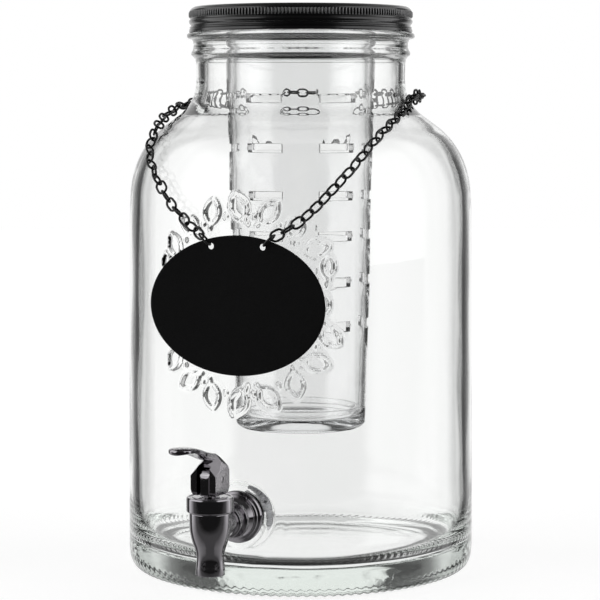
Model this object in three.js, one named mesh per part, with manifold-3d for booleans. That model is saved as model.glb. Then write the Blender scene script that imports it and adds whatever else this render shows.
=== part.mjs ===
// Glass beverage dispenser: wide-mouth jar with a screw lid, a slotted infuser
// tube, a lever tap and an oval chalkboard sign on a neck chain.
// Millimetres, +Z up. Origin: centre of the jar's resting face. The tap and the
// sign face -Y, and +X is on the right hand seen from the tap side.
import * as THREE from 'three';
import { mergeVertices } from 'three/addons/utils/BufferGeometryUtils.js';
import Module from 'manifold-3d';

const wasm = await Module();
wasm.setup();

// ---------------------------------------------------------------- dimensions
const JAR_SEGS = 44;            // facets round the jar and the lid
const JAR_HEIGHT = 326.5;       // jar alone, to the top of its rim
const JAR_R = 102.9;            // widest outer radius, just above the base
const NECK_R = 61.8;            // outer radius of the plain neck
const MOUTH_R = 58.0;           // clear radius of the mouth
const SHOULDER_Z = 212;         // where the wall starts to turn in

const THREAD_R = 64.05;         // crest of the jar's screw thread
const THREAD_ROOT_R = 62.7;
const THREAD_LEAD = 6.35;       // rise of the thread in one turn
const THREAD_TURNS = 1.05;
const THREAD_Z0 = 318.3;        // middle of the ridge where it starts
const THREAD_STEPS = 30;

const TAP_Z = 46.3;             // height of the hole in the glass for the tap
const TAP_HOLE_R = 8.0;
const BOSS_R = 17.5;            // flat moulded pad round the hole
const BOSS_FACE_Y = -103.6;     // front face of that pad
const SPOUT_Y = -146.0;         // vertical axis of the tap body
const TAP_FACE = BOSS_FACE_Y - SPOUT_Y;   // the pad's face, in tap coordinates
const FLANGE_BACK = TAP_FACE - 0.9;       // back of the tap's flange
const FLANGE_R = 14.75;
const STUD_R = 7.6;             // threaded tail of the tap
const STUD_CLEAR_R = STUD_R + 0.15;
const INNER_WASHER_Y0 = 50.0;   // in tap coordinates
const INNER_WASHER_Y1 = 52.6;
const NUT_CORNER_R = 12.4;
const NUT_DEPTH = 6.5;

const COLLAR_R = 12.8;
const COLLAR_Z0 = 56.5;
const COLLAR_Z1 = 64.7;
const STEM_R = 2.95;
const CHAMBER_R = 8.4;
const FEED_R = 4.4;             // bore from the jar to the valve chamber
const SEAT_Z = 40.5;

const SPRING_Z0 = SEAT_Z + 6.3;
const SPRING_Z1 = 57.9;
const SPRING_TURNS = 5;
const SPRING_R = 4.9;
const SPRING_WIRE_R = 0.45;

const LEVER_YAW = -8;           // degrees off the front direction, towards -X
const PIN_Z = 74.5;             // height of the lever pin
const PIN_R = 1.5;
const PIN_HOLE_R = PIN_R + 0.06;
const YOKE_W = 15.5;            // across the two cheeks
const SLOT_W = 7.9;             // gap between the cheeks
const TONGUE_W = 7.4;           // stem head between the cheeks
const TONGUE_R = 6.3;           // rounded top of the stem head
const PADDLE_W = 12.6;
const PADDLE_REACH = 37.4;      // from the stem axis to the paddle tip

const LID_R = 65.9;
const LID_Z0 = 316.6;
const LID_Z1 = 331.5;

const TUBE_SEGS = 36;
const TUBE_TOP_R = 44.5;        // infuser tube, outside
const TUBE_BOT_R = 38.9;
const TUBE_WALL = 3.4;
const TUBE_TOP_Z = 318;         // upper end of the tube's taper
const TUBE_Z0 = 92.0;           // lower end of the tube wall
const TUBE_END_Z = 83.4;        // underside of the closed end
const SLOT_H = 5.6;
const SLOT_ARC = 30;            // degrees each slot spans
const SLOT_STEPS = 3;           // facets along each slot
const SLOT_ROWS = [276.0, 248.5, 222.5, 198.5, 171.5, 145.5];   // mid heights
const SLOT_COLS = 6;            // slots in each row
const SLOT_FIRST = -10.5;       // degrees from the front to the middle of the first slot
const TUBE_START = SLOT_FIRST + SLOT_ARC / 2;   // turns the tube's facets to the slots

const SIGN_W = 103.0;
const SIGN_H = 77.7;
const SIGN_T = 1.2;
const SIGN_SEGS = 48;
const SIGN_Y = -105.3;          // middle of the plate's thickness
const SIGN_Z = 164.0;
const SIGN_HOLE_X = 15.2;
const SIGN_HOLE_Z = 196.7;
const SIGN_HOLE_R = 1.85;
const RING_OFFSET = 4.77;       // out and up from a sign hole to the chain's end
const HANG_X = SIGN_HOLE_X + RING_OFFSET;   // where each ring hooks into the chain
const HANG_Z = SIGN_HOLE_Z + RING_OFFSET;

const LINK_R = 2.78;            // centre-line radius of a link's round ends
const LINK_STRAIGHT = 2.33;     // distance between the centres of its round ends
const LINK_PITCH = 6.6;
const RING_STRAIGHT = 2.95;     // as LINK_STRAIGHT, for the sign's two rings
const RING_WIRE = { wireRadius: 0.62, around: 5, along: 12 };
// A negative radius points the triangular section's corner into the link.
const LINK_WIRE = { wireRadius: -0.76, around: 3, along: 6 };
const EASE_LINKS = 9;           // links over which the chain's end twist eases out

// ----------------------------------------------------------------- finishes
const finish = ({ color, roughness, metalness, opacity = 1 }) =>
  new THREE.MeshStandardMaterial({
    color, roughness, metalness, opacity, transparent: opacity < 1,
  });
const glass = () => finish({ color: 0xeef3f0, roughness: 0.05, metalness: 0, opacity: 0.35 });
const clearPlastic = () =>
  finish({ color: 0xf2f4f6, roughness: 0.12, metalness: 0, opacity: 0.35 });
const satinBlack = () => finish({ color: 0x141415, roughness: 0.38, metalness: 0.35 });
const chainBlack = () => finish({ color: 0x0d0d0e, roughness: 0.35, metalness: 0.6 });
const chalkboard = () => finish({ color: 0x0e0e10, roughness: 0.9, metalness: 0 });
const gunmetal = () => finish({ color: 0x37353a, roughness: 0.14, metalness: 1 });
const rubber = () => finish({ color: 0x17171a, roughness: 0.75, metalness: 0 });
const silicone = () => finish({ color: 0xd9d9d4, roughness: 0.6, metalness: 0 });
const steel = () => finish({ color: 0xa8a9ad, roughness: 0.3, metalness: 1 });
const linerWhite = () => finish({ color: 0xe6e4de, roughness: 0.6, metalness: 0 });

// ------------------------------------------------------------------ helpers
const rad = (degrees) => degrees * Math.PI / 180;
const toVectors = (points) => points.map(([x, y]) => new THREE.Vector2(x, y));

function signedVolume(geometry) {
  const position = geometry.getAttribute('position');
  const index = geometry.getIndex();
  const corners = [new THREE.Vector3(), new THREE.Vector3(), new THREE.Vector3()];
  let volume = 0;
  for (let i = 0; i < index.count; i += 3) {
    corners.forEach((corner, j) => corner.fromBufferAttribute(position, index.getX(i + j)));
    volume += corners[0].dot(corners[1].cross(corners[2])) / 6;
  }
  return volume;
}

// Keeps position only, shares vertices, drops collapsed facets, faces outwards.
function closed(source) {
  let geometry = source.clone();
  for (const name of Object.keys(geometry.attributes)) {
    if (name !== 'position') geometry.deleteAttribute(name);
  }
  geometry = mergeVertices(geometry, 1e-4);
  const index = geometry.getIndex().array;
  const kept = [];
  for (let i = 0; i < index.length; i += 3) {
    const [a, b, c] = [index[i], index[i + 1], index[i + 2]];
    if (a !== b && b !== c && c !== a) kept.push(a, b, c);
  }
  geometry.setIndex(kept);
  if (signedVolume(geometry) < 0) {
    for (let i = 0; i < kept.length; i += 3) {
      [kept[i + 1], kept[i + 2]] = [kept[i + 2], kept[i + 1]];
    }
    geometry.setIndex(kept);
  }
  return geometry;
}

function solid(source) {
  const geometry = closed(source);
  return new wasm.Manifold(new wasm.Mesh({
    numProp: 3,
    vertProperties: new Float32Array(geometry.getAttribute('position').array),
    triVerts: new Uint32Array(geometry.getIndex().array),
  }));
}

function toGeometry(manifold) {
  const mesh = manifold.getMesh();
  const geometry = new THREE.BufferGeometry();
  const vertices = new Float32Array(mesh.vertProperties);
  geometry.setAttribute('position', new THREE.BufferAttribute(vertices, 3));
  geometry.setIndex(Array.from(mesh.triVerts));
  geometry.computeVertexNormals();
  return geometry;
}

// Turned solid about +Z from [radius, height] points, its first facet turned by
// `start` radians. A profile that does not end on the axis is closed on itself.
function turned(profile, segments, start = 0) {
  const points = toVectors(profile);
  const first = points[0];
  const last = points[points.length - 1];
  if (first.x > 1e-9 || last.x > 1e-9) points.push(first.clone());
  const geometry = new THREE.LatheGeometry(points, segments);
  geometry.rotateX(Math.PI / 2);
  geometry.rotateZ(start);
  return closed(geometry);
}

// Turned solid about the tap hole's axis from [radius, y] points.
const turnedAlongTap = (profile, segments) =>
  turned(profile, segments).rotateX(-Math.PI / 2).translate(0, 0, TAP_Z);

const ringProfile = (outer, inner, from, to) =>
  [[inner, from], [outer, from], [outer, to], [inner, to]];

const extruded = (shape, depth, curveSegments) =>
  new THREE.ExtrudeGeometry(shape, { depth, bevelEnabled: false, curveSegments });

// Plate from an outline in the X-Z plane, centred on y = 0.
function plateXZ(outline, thickness) {
  const geometry = extruded(new THREE.Shape(toVectors(outline)), thickness);
  geometry.translate(0, 0, -thickness / 2);
  geometry.rotateX(Math.PI / 2);
  return closed(geometry);
}

// Plate from an outline given as [forward, z], centred on x = 0, where forward
// is -Y.
function plateSide(outline, width) {
  const geometry = extruded(new THREE.Shape(toVectors(outline)), width);
  geometry.translate(0, 0, -width / 2);
  geometry.applyMatrix4(new THREE.Matrix4().makeBasis(
    new THREE.Vector3(0, -1, 0), new THREE.Vector3(0, 0, 1), new THREE.Vector3(-1, 0, 0)));
  return closed(geometry);
}

function cylinderAlongY({ radius, y0, y1, segments, x = 0, z = TAP_Z }) {
  const geometry = new THREE.CylinderGeometry(radius, radius, Math.abs(y1 - y0), segments);
  geometry.translate(0, (y0 + y1) / 2, 0);
  return closed(geometry).translate(x, 0, z);
}

// Bar along X on the lever pin's axis.
function pinBar(radius, length) {
  const geometry = new THREE.CylinderGeometry(radius, radius, length, 16);
  geometry.rotateZ(Math.PI / 2);
  return closed(geometry).translate(0, 0, PIN_Z);
}

// [forward, z] points on an arc about the lever pin, angles in degrees.
function arcAboutPin(radius, from, to, steps) {
  const points = [];
  for (let i = 0; i <= steps; i++) {
    const angle = rad(from + (to - from) * i / steps);
    points.push([radius * Math.cos(angle), PIN_Z + radius * Math.sin(angle)]);
  }
  return points;
}

function polygonShape({ radius, sides, start = 0 }) {
  const points = [];
  for (let i = 0; i < sides; i++) {
    const angle = start + 2 * Math.PI * i / sides;
    points.push([radius * Math.cos(angle), radius * Math.sin(angle)]);
  }
  const shape = new THREE.Shape(toVectors(points));
  shape.closePath();
  return shape;
}

function add(group, name, geometry, material) {
  const mesh = new THREE.Mesh(geometry, material);
  mesh.name = name;
  group.add(mesh);
}

// ---------------------------------------------------------------- glass jar
// [radius, z], from the middle of the base up the outside to the rim.
const JAR_OUTER = [
  [0, 0], [95, 0], [98.6, 0.9], [101.2, 3.2], [102.6, 7.5], [JAR_R, 14],
  [102.1, 120], [101.4, SHOULDER_Z], [100.5, 226.8], [98.3, 235.7], [94.8, 244.6],
  [89.4, 253.4], [79.1, 262.9], [69.8, 270], [65.4, 274.6], [NECK_R, 280.4],
  [NECK_R, 300.4], [64.6, 303.6], [63.4, 307], [63.4, 312], [67.3, 314.4],
  [66.6, 316.2], [62.8, 316.5], [62.8, 325.6], [62.0, JAR_HEIGHT],
];
// [radius, z], from the rim down the inside to the middle of the floor.
const JAR_INNER = [
  [59.0, JAR_HEIGHT], [MOUTH_R, 325.6], [MOUTH_R, 312], [57.0, 298], [57.0, 280],
  [60.4, 272], [70.6, 263.4], [83.8, 252.0], [90.9, 240], [94.9, 225.8],
  [95.8, SHOULDER_Z], [97.1, 60], [97.0, 34], [95.6, 25], [91.5, 18.5], [84, 14.4],
  [70, 12.4], [0, 12.0],
];

// Single-start thread, swept section by section so that it stays upright. Its
// height above the root fades out at both ends.
function threadRidge() {
  const crest = THREAD_R - THREAD_ROOT_R;
  // [out from the root radius, up from the ridge's middle]
  const section = [
    [-0.6, -1.0], [crest - 0.5, -0.75], [crest, 0], [crest - 0.5, 0.75], [-0.6, 1.0],
  ];
  const size = section.length;
  const position = [];
  const index = [];
  for (let i = 0; i <= THREAD_STEPS; i++) {
    const t = i / THREAD_STEPS;
    const angle = t * THREAD_TURNS * 2 * Math.PI;
    const z = THREAD_Z0 + t * THREAD_TURNS * THREAD_LEAD;
    const fade = Math.min(1, 5 * t + 0.15, 5 * (1 - t) + 0.15);
    for (const [out, up] of section) {
      const radius = THREAD_ROOT_R + (out > 0 ? out * fade : out);
      position.push(radius * Math.cos(angle), radius * Math.sin(angle), z + up);
    }
  }
  for (let i = 0; i < THREAD_STEPS; i++) {
    for (let j = 0; j < size; j++) {
      const here = i * size + j;
      const beside = i * size + (j + 1) % size;
      index.push(here, beside, beside + size, here, beside + size, here + size);
    }
  }
  const end = THREAD_STEPS * size;
  for (let j = 1; j < size - 1; j++) {
    index.push(0, j + 1, j);
    index.push(end, end + j, end + j + 1);
  }
  const ridge = new THREE.BufferGeometry();
  ridge.setAttribute('position', new THREE.BufferAttribute(new Float32Array(position), 3));
  ridge.setIndex(index);
  return ridge;
}

function buildJar(group) {
  const boss = cylinderAlongY({ radius: BOSS_R, y0: BOSS_FACE_Y, y1: -99, segments: 32 });
  const hole = cylinderAlongY({ radius: TAP_HOLE_R, y0: -110, y1: -85, segments: 24 });
  const jar = solid(turned([...JAR_OUTER, ...JAR_INNER], JAR_SEGS))
    .add(solid(threadRidge()))
    .add(solid(boss))
    .subtract(solid(hole));
  add(group, 'glass_jar', toGeometry(jar), glass());
}

// ---------------------------------------------------------------------- tap
function spigotBody() {
  // Spout and valve chamber, turned about the vertical axis.
  const barrel = turned([
    [7.7, 22.0], [8.05, 22.7], [7.9, 25.5], [7.5, 29.0], [7.3, 32.0], [7.7, 35.0],
    [8.6, 37.2], [9.5, 39.6], [10.3, 42.4], [10.95, 46.0], [11.2, 50.0], [11.25, 56.2],
    [10.0, 56.3], [10.0, 61.6], [0, 61.6], [0, 22.0],
  ], 28);
  // Stepped shank, flange and threaded tail: [radius, y], y measured forwards
  // from the back of the flange where `ahead` is used.
  const ahead = (distance) => FLANGE_BACK - distance;
  const shank = turnedAlongTap([
    [0, 4.0], [7.6, 4.0], [7.6, ahead(19.2)], [8.9, ahead(18.6)], [8.9, ahead(15.4)],
    [8.0, ahead(14.8)], [8.0, ahead(12.6)], [10.2, ahead(12.0)], [10.4, ahead(9.6)],
    [9.0, ahead(9.0)], [9.0, ahead(7.2)], [11.3, ahead(4.6)], [11.3, ahead(3.4)],
    [13.6, ahead(2.6)], [FLANGE_R, ahead(1.6)], [FLANGE_R, ahead(0.4)], [14.2, ahead(0)],
    [STUD_R, ahead(0)], [STUD_R, ahead(-21.6)], [7.0, ahead(-22.4)], [0, ahead(-22.4)],
  ], 28);
  const bore = turned([
    [0, 20.0], [6.4, 20.0], [6.2, 22.6], [4.8, 27.0], [4.8, SEAT_Z - 1.2], [6.0, SEAT_Z],
    [CHAMBER_R, SEAT_Z + 1.2], [CHAMBER_R, 63.0], [0, 63.0],
  ], 20);
  const feed = cylinderAlongY({ radius: FEED_R, y0: 0, y1: TAP_FACE + 30, segments: 16 });
  return toGeometry(
    solid(barrel).add(solid(shank)).subtract(solid(bore)).subtract(solid(feed)));
}

function lockNut() {
  const shape = polygonShape({ radius: NUT_CORNER_R, sides: 6, start: rad(30) });
  const eye = new THREE.Path();
  eye.absarc(0, 0, STUD_CLEAR_R, 0, 2 * Math.PI, true);
  shape.holes.push(eye);
  const nut = extruded(shape, NUT_DEPTH, 16);
  nut.rotateX(-Math.PI / 2);
  nut.translate(0, INNER_WASHER_Y1 + 0.1, TAP_Z);
  return closed(nut);
}

class Coil extends THREE.Curve {
  getPoint(t, target = new THREE.Vector3()) {
    const angle = t * SPRING_TURNS * 2 * Math.PI;
    return target.set(
      SPRING_R * Math.cos(angle),
      SPRING_R * Math.sin(angle),
      SPRING_Z0 + (SPRING_Z1 - SPRING_Z0) * t,
    );
  }
}

function returnSpring() {
  const wire = polygonShape({ radius: SPRING_WIRE_R, sides: 4 });
  return closed(new THREE.ExtrudeGeometry(wire, {
    steps: 50, bevelEnabled: false, extrudePath: new Coil(),
  }));
}

function buildTap(group) {
  add(group, 'spigot_body', spigotBody(), gunmetal());

  // Rubber washers on either side of the glass, and the nut inside the jar.
  const outerWasher = ringProfile(14.5, STUD_CLEAR_R, TAP_FACE - 0.75, TAP_FACE - 0.1);
  add(group, 'spigot_outer_washer', turnedAlongTap(outerWasher, 28), rubber());
  const innerWasher = ringProfile(12.6, STUD_CLEAR_R, INNER_WASHER_Y0, INNER_WASHER_Y1);
  add(group, 'spigot_inner_washer', turnedAlongTap(innerWasher, 24), rubber());
  add(group, 'spigot_lock_nut', lockNut(), steel());

  // Cap collar over the neck of the chamber, and the seal under it.
  add(group, 'spigot_collar', turned([
    [3.2, 62.4], [10.15, 62.4], [10.15, COLLAR_Z0], [12.3, COLLAR_Z0],
    [COLLAR_R, COLLAR_Z0 + 0.5], [COLLAR_R, COLLAR_Z1 - 0.6], [12.2, COLLAR_Z1],
    [3.2, COLLAR_Z1],
  ], 28), gunmetal());
  add(group, 'stem_seal', turned(ringProfile(8.3, 3.1, 58.6, 61.4), 20), rubber());

  // Cup on the foot of the stem, which closes on the seat.
  add(group, 'valve_seat_cup', turned([
    [0, SEAT_Z - 0.6], [4.4, SEAT_Z - 0.6], [7.2, SEAT_Z + 1.5], [7.2, SEAT_Z + 5.4],
    [3.1, SEAT_Z + 5.4], [3.1, SEAT_Z + 2.6], [0, SEAT_Z + 2.6],
  ], 20), silicone());
  add(group, 'return_spring', returnSpring(), steel());
}

// ----------------------------------------------------------- stem and lever
// Plan of the stem head: a bar along Y with rounded ends.
function headPlan() {
  const halfWidth = TONGUE_W / 2;
  const halfLength = 6.5;
  const straight = halfLength - 2.2;   // half-length of the straight sides
  const shape = new THREE.Shape();
  shape.moveTo(-halfWidth, -straight);
  shape.quadraticCurveTo(-halfWidth, -halfLength, 0, -halfLength);
  shape.quadraticCurveTo(halfWidth, -halfLength, halfWidth, -straight);
  shape.lineTo(halfWidth, straight);
  shape.quadraticCurveTo(halfWidth, halfLength, 0, halfLength);
  shape.quadraticCurveTo(-halfWidth, halfLength, -halfWidth, straight);
  shape.closePath();
  return extruded(shape, 30, 4).translate(0, 0, 60);
}

// Round shaft with a flat head that the lever straddles.
function valveStem() {
  const shaft = turned([
    [0, SEAT_Z + 3.0], [2.9, SEAT_Z + 3.0], [STEM_R, SEAT_Z + 6.2], [STEM_R, 66.4],
    [0, 66.4],
  ], 16);
  const head = plateSide([
    [-6.1, 65.6], [6.1, 65.6], [TONGUE_R, 66.2], ...arcAboutPin(TONGUE_R, 0, 180, 14),
    [-TONGUE_R, 66.2],
  ], TONGUE_W);
  return toGeometry(solid(shaft)
    .add(solid(head).intersect(solid(headPlan())))
    .subtract(solid(pinBar(PIN_HOLE_R, 30))));
}

// Block that removes all on the far side of a plane through `point`.
function facetCutter(point, normal) {
  const box = new THREE.BoxGeometry(60, 60, 20);
  box.translate(0, 0, 10);
  box.applyQuaternion(new THREE.Quaternion().setFromUnitVectors(
    new THREE.Vector3(0, 0, 1), new THREE.Vector3(...normal).normalize()));
  box.translate(...point);
  return solid(box);
}

// Two cheeks joined over the stem head.
function leverYoke() {
  const side = plateSide([
    [-6.6, 65.9], [6.2, 65.9], [7.5, 67.6], [7.5, 82.6], [11.6, 87.6], [8.0, 89.6],
    [3.0, 88.9], [0.4, 88.5], [-2.6, 87.7], [-5.2, 85.6], [-6.9, 82.6], [-7.5, 79.2],
    [-7.5, 67.2],
  ], YOKE_W);
  const front = plateXZ([
    [-7.0, 64], [7.0, 64], [YOKE_W / 2, 66.4], [YOKE_W / 2, 79.0], [6.2, 83.6], [4.9, 90],
    [-4.9, 90], [-6.2, 83.6], [-YOKE_W / 2, 79.0], [-YOKE_W / 2, 66.4],
  ], 40);
  let yoke = solid(side).intersect(solid(front));
  // Oblique facets across the front and rear upper corners of each cheek.
  for (const hand of [-1, 1]) {
    const x = hand * YOKE_W / 2;
    yoke = yoke.subtract(facetCutter([x, -7.5, 76.7], [hand * 38.95, -20.14, 36.1]));
    yoke = yoke.subtract(facetCutter([x, 2.0, 82.0], [hand * 36.0, 12.0, 34.0]));
  }
  // Slot for the stem head, rounded about the pin so the lever can rock.
  const slot = plateSide([
    [-12, 60], [14, 60], [14, 89.4], [4.6, 81.25], ...arcAboutPin(6.85, 78, 180, 12),
    [-12, PIN_Z],
  ], SLOT_W);
  return yoke.subtract(solid(slot));
}

function paddlePlan() {
  const half = PADDLE_W / 2;
  const tip = -PADDLE_REACH;
  const shape = new THREE.Shape();
  shape.moveTo(-4.4, 1.0);
  shape.lineTo(4.4, 1.0);
  shape.lineTo(4.6, -9);
  shape.quadraticCurveTo(half, -14, half, -20);
  shape.lineTo(half, tip + 6);
  shape.quadraticCurveTo(half, tip, 0, tip);
  shape.quadraticCurveTo(-half, tip, -half, tip + 6);
  shape.lineTo(-half, -20);
  shape.quadraticCurveTo(-half, -14, -4.6, -9);
  shape.closePath();
  return extruded(shape, 40, 6).translate(0, 0, 70);
}

// Thumb paddle, curved in side view and rounded in plan.
function leverPaddle() {
  const top = [
    [-1.0, 88.4], [3, 89.2], [8, 90.4], [13, 91.9], [18, 93.4], [24, 94.9], [30, 95.5],
    [PADDLE_REACH, 94.9],
  ];
  const under = [
    [PADDLE_REACH, 91.9], [30, 91.9], [24, 91.2], [18, 89.8], [13.5, 88.3], [10.9, 87.2],
    [6.5, 85.4], [-1.0, 84.4],
  ];
  return solid(plateSide([...top, ...under], 20)).intersect(solid(paddlePlan()));
}

function buildHandle(group) {
  add(group, 'valve_stem', valveStem(), gunmetal());
  add(group, 'lever_pin', pinBar(PIN_R, YOKE_W - 0.3), gunmetal());
  const lever = leverYoke().add(leverPaddle()).subtract(solid(pinBar(PIN_HOLE_R, 30)));
  add(group, 'tap_lever', toGeometry(lever), gunmetal());
}

// ------------------------------------------------------------------ infuser
// Wedge of a ring that cuts one slot in the tube wall. `middle` is in degrees
// from -Y towards +X.
function slotCutter(z, middle) {
  const wallRadius = TUBE_BOT_R
    + (TUBE_TOP_R - TUBE_BOT_R) * (z - TUBE_Z0) / (TUBE_TOP_Z - TUBE_Z0);
  const arcAt = (radius) => {
    const points = [];
    for (let i = 0; i <= SLOT_STEPS; i++) {
      const angle = rad(middle - SLOT_ARC / 2 + SLOT_ARC * i / SLOT_STEPS);
      points.push([radius * Math.sin(angle), -radius * Math.cos(angle)]);
    }
    return points;
  };
  const outline = [...arcAt(wallRadius + 4), ...arcAt(wallRadius - 6).reverse()];
  const wedge = extruded(new THREE.Shape(toVectors(outline)), SLOT_H);
  return solid(wedge.translate(0, 0, z - SLOT_H / 2));
}

function buildInfuser(group) {
  let tube = solid(turned([
    [TUBE_BOT_R, TUBE_Z0], [TUBE_TOP_R, TUBE_TOP_Z], [45.4, 323], [47.5, 326.8],
    [61.6, 326.8], [61.9, 327.6], [61.6, 328.4], [46.2, 328.4], [43.0, 324.5],
    [TUBE_TOP_R - TUBE_WALL, TUBE_TOP_Z], [TUBE_BOT_R - TUBE_WALL, TUBE_Z0],
  ], TUBE_SEGS, rad(TUBE_START)));
  for (const z of SLOT_ROWS) {
    for (let i = 0; i < SLOT_COLS; i++) {
      tube = tube.subtract(slotCutter(z, SLOT_FIRST + i * 360 / SLOT_COLS));
    }
  }
  add(group, 'infuser_tube', toGeometry(tube), clearPlastic());
  add(group, 'infuser_base', turned([
    [0, TUBE_END_Z], [36.8, TUBE_END_Z], [38.4, TUBE_END_Z + 1.6], [38.8, TUBE_Z0 - 0.1],
    [35.2, TUBE_Z0 - 0.1], [35.1, TUBE_Z0 + 4.0], [32.8, TUBE_Z0 + 4.0],
    [32.6, TUBE_Z0 - 0.2], [0, TUBE_Z0 - 0.2],
  ], TUBE_SEGS, rad(TUBE_START)), clearPlastic());
}

// ---------------------------------------------------------------------- lid
function buildLid(group) {
  add(group, 'lid_liner', turned([
    [50.0, 328.8], [62.6, 328.8], [63.2, 329.4], [63.2, 330.5], [50.0, 330.5],
  ], JAR_SEGS), linerWhite());
  add(group, 'lid_shell', turned([
    [0, 330.8], [64.4, 330.8], [65.0, 329.6], [65.0, 322.6], [64.5, 321.0],
    [65.2, 318.8], [65.2, LID_Z0], [LID_R, LID_Z0], [LID_R, 318.8], [65.1, 321.0],
    [65.8, 322.8], [LID_R, 326.2], [65.6, 329.6], [64.6, 331.1], [63.4, LID_Z1],
    [0, LID_Z1],
  ], JAR_SEGS), satinBlack());
}

// ----------------------------------------------------------- sign and chain
// One oval wire link: long axis Y, wide axis X, centred on the origin.
function wireLink({ wireRadius, around, along }, straight) {
  const geometry = new THREE.TorusGeometry(LINK_R, wireRadius, around, along);
  geometry.rotateZ(Math.PI / along);
  const position = geometry.getAttribute('position');
  for (let i = 0; i < position.count; i++) {
    const y = position.getY(i);
    position.setY(i, y + Math.sign(y) * straight / 2);
  }
  return closed(geometry);
}

function signPlate() {
  const outline = [];
  for (let i = 0; i < SIGN_SEGS; i++) {
    const angle = 2 * Math.PI * i / SIGN_SEGS;
    outline.push([
      SIGN_W / 2 * Math.cos(angle),
      SIGN_Z - HANG_Z + SIGN_H / 2 * Math.sin(angle),
    ]);
  }
  let plate = solid(plateXZ(outline, SIGN_T));
  for (const hand of [-1, 1]) {
    plate = plate.subtract(solid(cylinderAlongY({
      radius: SIGN_HOLE_R, y0: -5, y1: 5, segments: 24,
      x: hand * SIGN_HOLE_X, z: SIGN_HOLE_Z - HANG_Z,
    })));
  }
  return toGeometry(plate);
}

// Ring through a hole of the sign, leaning 45 degrees outwards.
function signRing(hand) {
  const up = new THREE.Vector3(hand * Math.SQRT1_2, 0, Math.SQRT1_2);
  const wide = new THREE.Vector3(0, 1, 0);
  const out = new THREE.Vector3().crossVectors(wide, up);
  const ring = wireLink(RING_WIRE, RING_STRAIGHT);
  ring.applyMatrix4(new THREE.Matrix4().makeBasis(wide, up, out));
  return ring.translate(
    hand * HANG_X - up.x * RING_STRAIGHT / 2, 0, -up.z * RING_STRAIGHT / 2);
}

function buildSign(group) {
  add(group, 'chalkboard_sign', signPlate(), chalkboard());
  add(group, 'sign_ring_left', signRing(-1), chainBlack());
  add(group, 'sign_ring_right', signRing(1), chainBlack());
}

// [x, y, z] from the right ring up over the shoulder, round the back of the
// neck, and down the left side to the left ring.
const CHAIN_PATH = [
  [HANG_X, SIGN_Y, HANG_Z], [27.0, -102.7, 205.5], [35.0, -99.1, 211.1],
  [43.1, -95.1, 219.0], [50.9, -90.2, 228.4], [57.6, -83.2, 237.6],
  [62.6, -75.1, 246.2], [66.1, -65.7, 253.7], [68.7, -55.0, 259.8],
  [70.0, -45.6, 263.8], [70.6, -34.6, 267.7], [70.2, -20.7, 271.8],
  [69.9, -13.6, 275.4], [70.4, -6.2, 278.4], [70.6, 2.5, 280.3],
  [68.6, 17.1, 279.8], [60.0, 37.5, 277.6], [39.6, 58.8, 275.4],
  [9.9, 70.5, 274.4], [-24.3, 66.8, 274.5], [-51.0, 49.3, 275.0],
  [-65.2, 27.7, 275.2], [-70.7, 4.9, 275.0], [-71.9, -10.1, 273.2],
  [-72.3, -23.5, 270.2], [-72.4, -34.5, 266.6], [-69.4, -52.9, 260.3],
  [-68.6, -61.6, 255.2], [-67.8, -66.9, 250.1], [-65.1, -73.4, 245.2],
  [-58.1, -83.3, 236.4], [-51.8, -89.5, 228.8], [-44.3, -94.3, 220.1],
  [-36.8, -97.9, 213.7], [-28.5, -101.7, 207.3], [-HANG_X, SIGN_Y, HANG_Z],
];

// Approximate outward direction of the jar's surface near a point of the chain.
function jarNormal(point) {
  const shoulderRise = 62;   // height over which the normal tips upwards
  const steepest = 0.78;     // its largest upward component
  const share = Math.min(1, Math.max(0, (point.z - SHOULDER_Z) / shoulderRise));
  const up = steepest * share;
  const out = Math.sqrt(1 - up * up);
  const radius = Math.hypot(point.x, point.y);
  return new THREE.Vector3(point.x / radius * out, point.y / radius * out, up);
}

function buildChain(group) {
  const curve = new THREE.CatmullRomCurve3(
    CHAIN_PATH.map((point) => new THREE.Vector3(...point)), false, 'centripetal');
  curve.arcLengthDivisions = 2000;
  const total = curve.getLength();
  const endGap = LINK_R + LINK_STRAIGHT / 2;   // link centre to its end wire
  const count = Math.round((total - 2 * endGap) / LINK_PITCH) + 1;
  const pitch = (total - 2 * endGap) / (count - 1);
  const lastSign = count % 2 ? 1 : -1;

  const links = [];
  for (let i = 0; i < count; i++) {
    const distance = endGap + i * pitch;
    const before = curve.getPointAt(Math.max(0, (distance - endGap * 0.9) / total));
    const after = curve.getPointAt(Math.min(1, (distance + endGap * 0.9) / total));
    // The centre lies halfway between the curve and the chord.
    const chordMiddle = before.clone().add(after).multiplyScalar(0.5);
    const centre = curve.getPointAt(distance / total).lerp(chordMiddle, 0.5);
    const along = after.clone().sub(before).normalize();
    const normal = jarNormal(centre);
    normal.addScaledVector(along, -normal.dot(along)).normalize();
    const across = new THREE.Vector3().crossVectors(normal, along);
    // Neighbouring links stand square to each other; the twist eases out of
    // the flat link at either end.
    const ease = Math.max(0, 1 - i / EASE_LINKS)
      + Math.max(0, 1 - (count - 1 - i) / EASE_LINKS) * lastSign;
    const roll = rad((i % 2 ? 45 : -45) + 45 * ease);
    const wide = across.multiplyScalar(Math.cos(roll))
      .addScaledVector(normal, Math.sin(roll));
    const out = new THREE.Vector3().crossVectors(wide, along);
    const placement = new THREE.Matrix4().makeBasis(wide, along, out).setPosition(centre);
    links.push(solid(wireLink(LINK_WIRE, LINK_STRAIGHT).applyMatrix4(placement)));
  }
  const chain = links.reduce((joined, next) => joined.add(next));
  add(group, 'neck_chain', toGeometry(chain), chainBlack());
}

// ----------------------------------------------------------------- assembly
function addGroup(parent) {
  const group = new THREE.Group();
  parent.add(group);
  return group;
}

const root = new THREE.Group();
buildJar(root);

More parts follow.
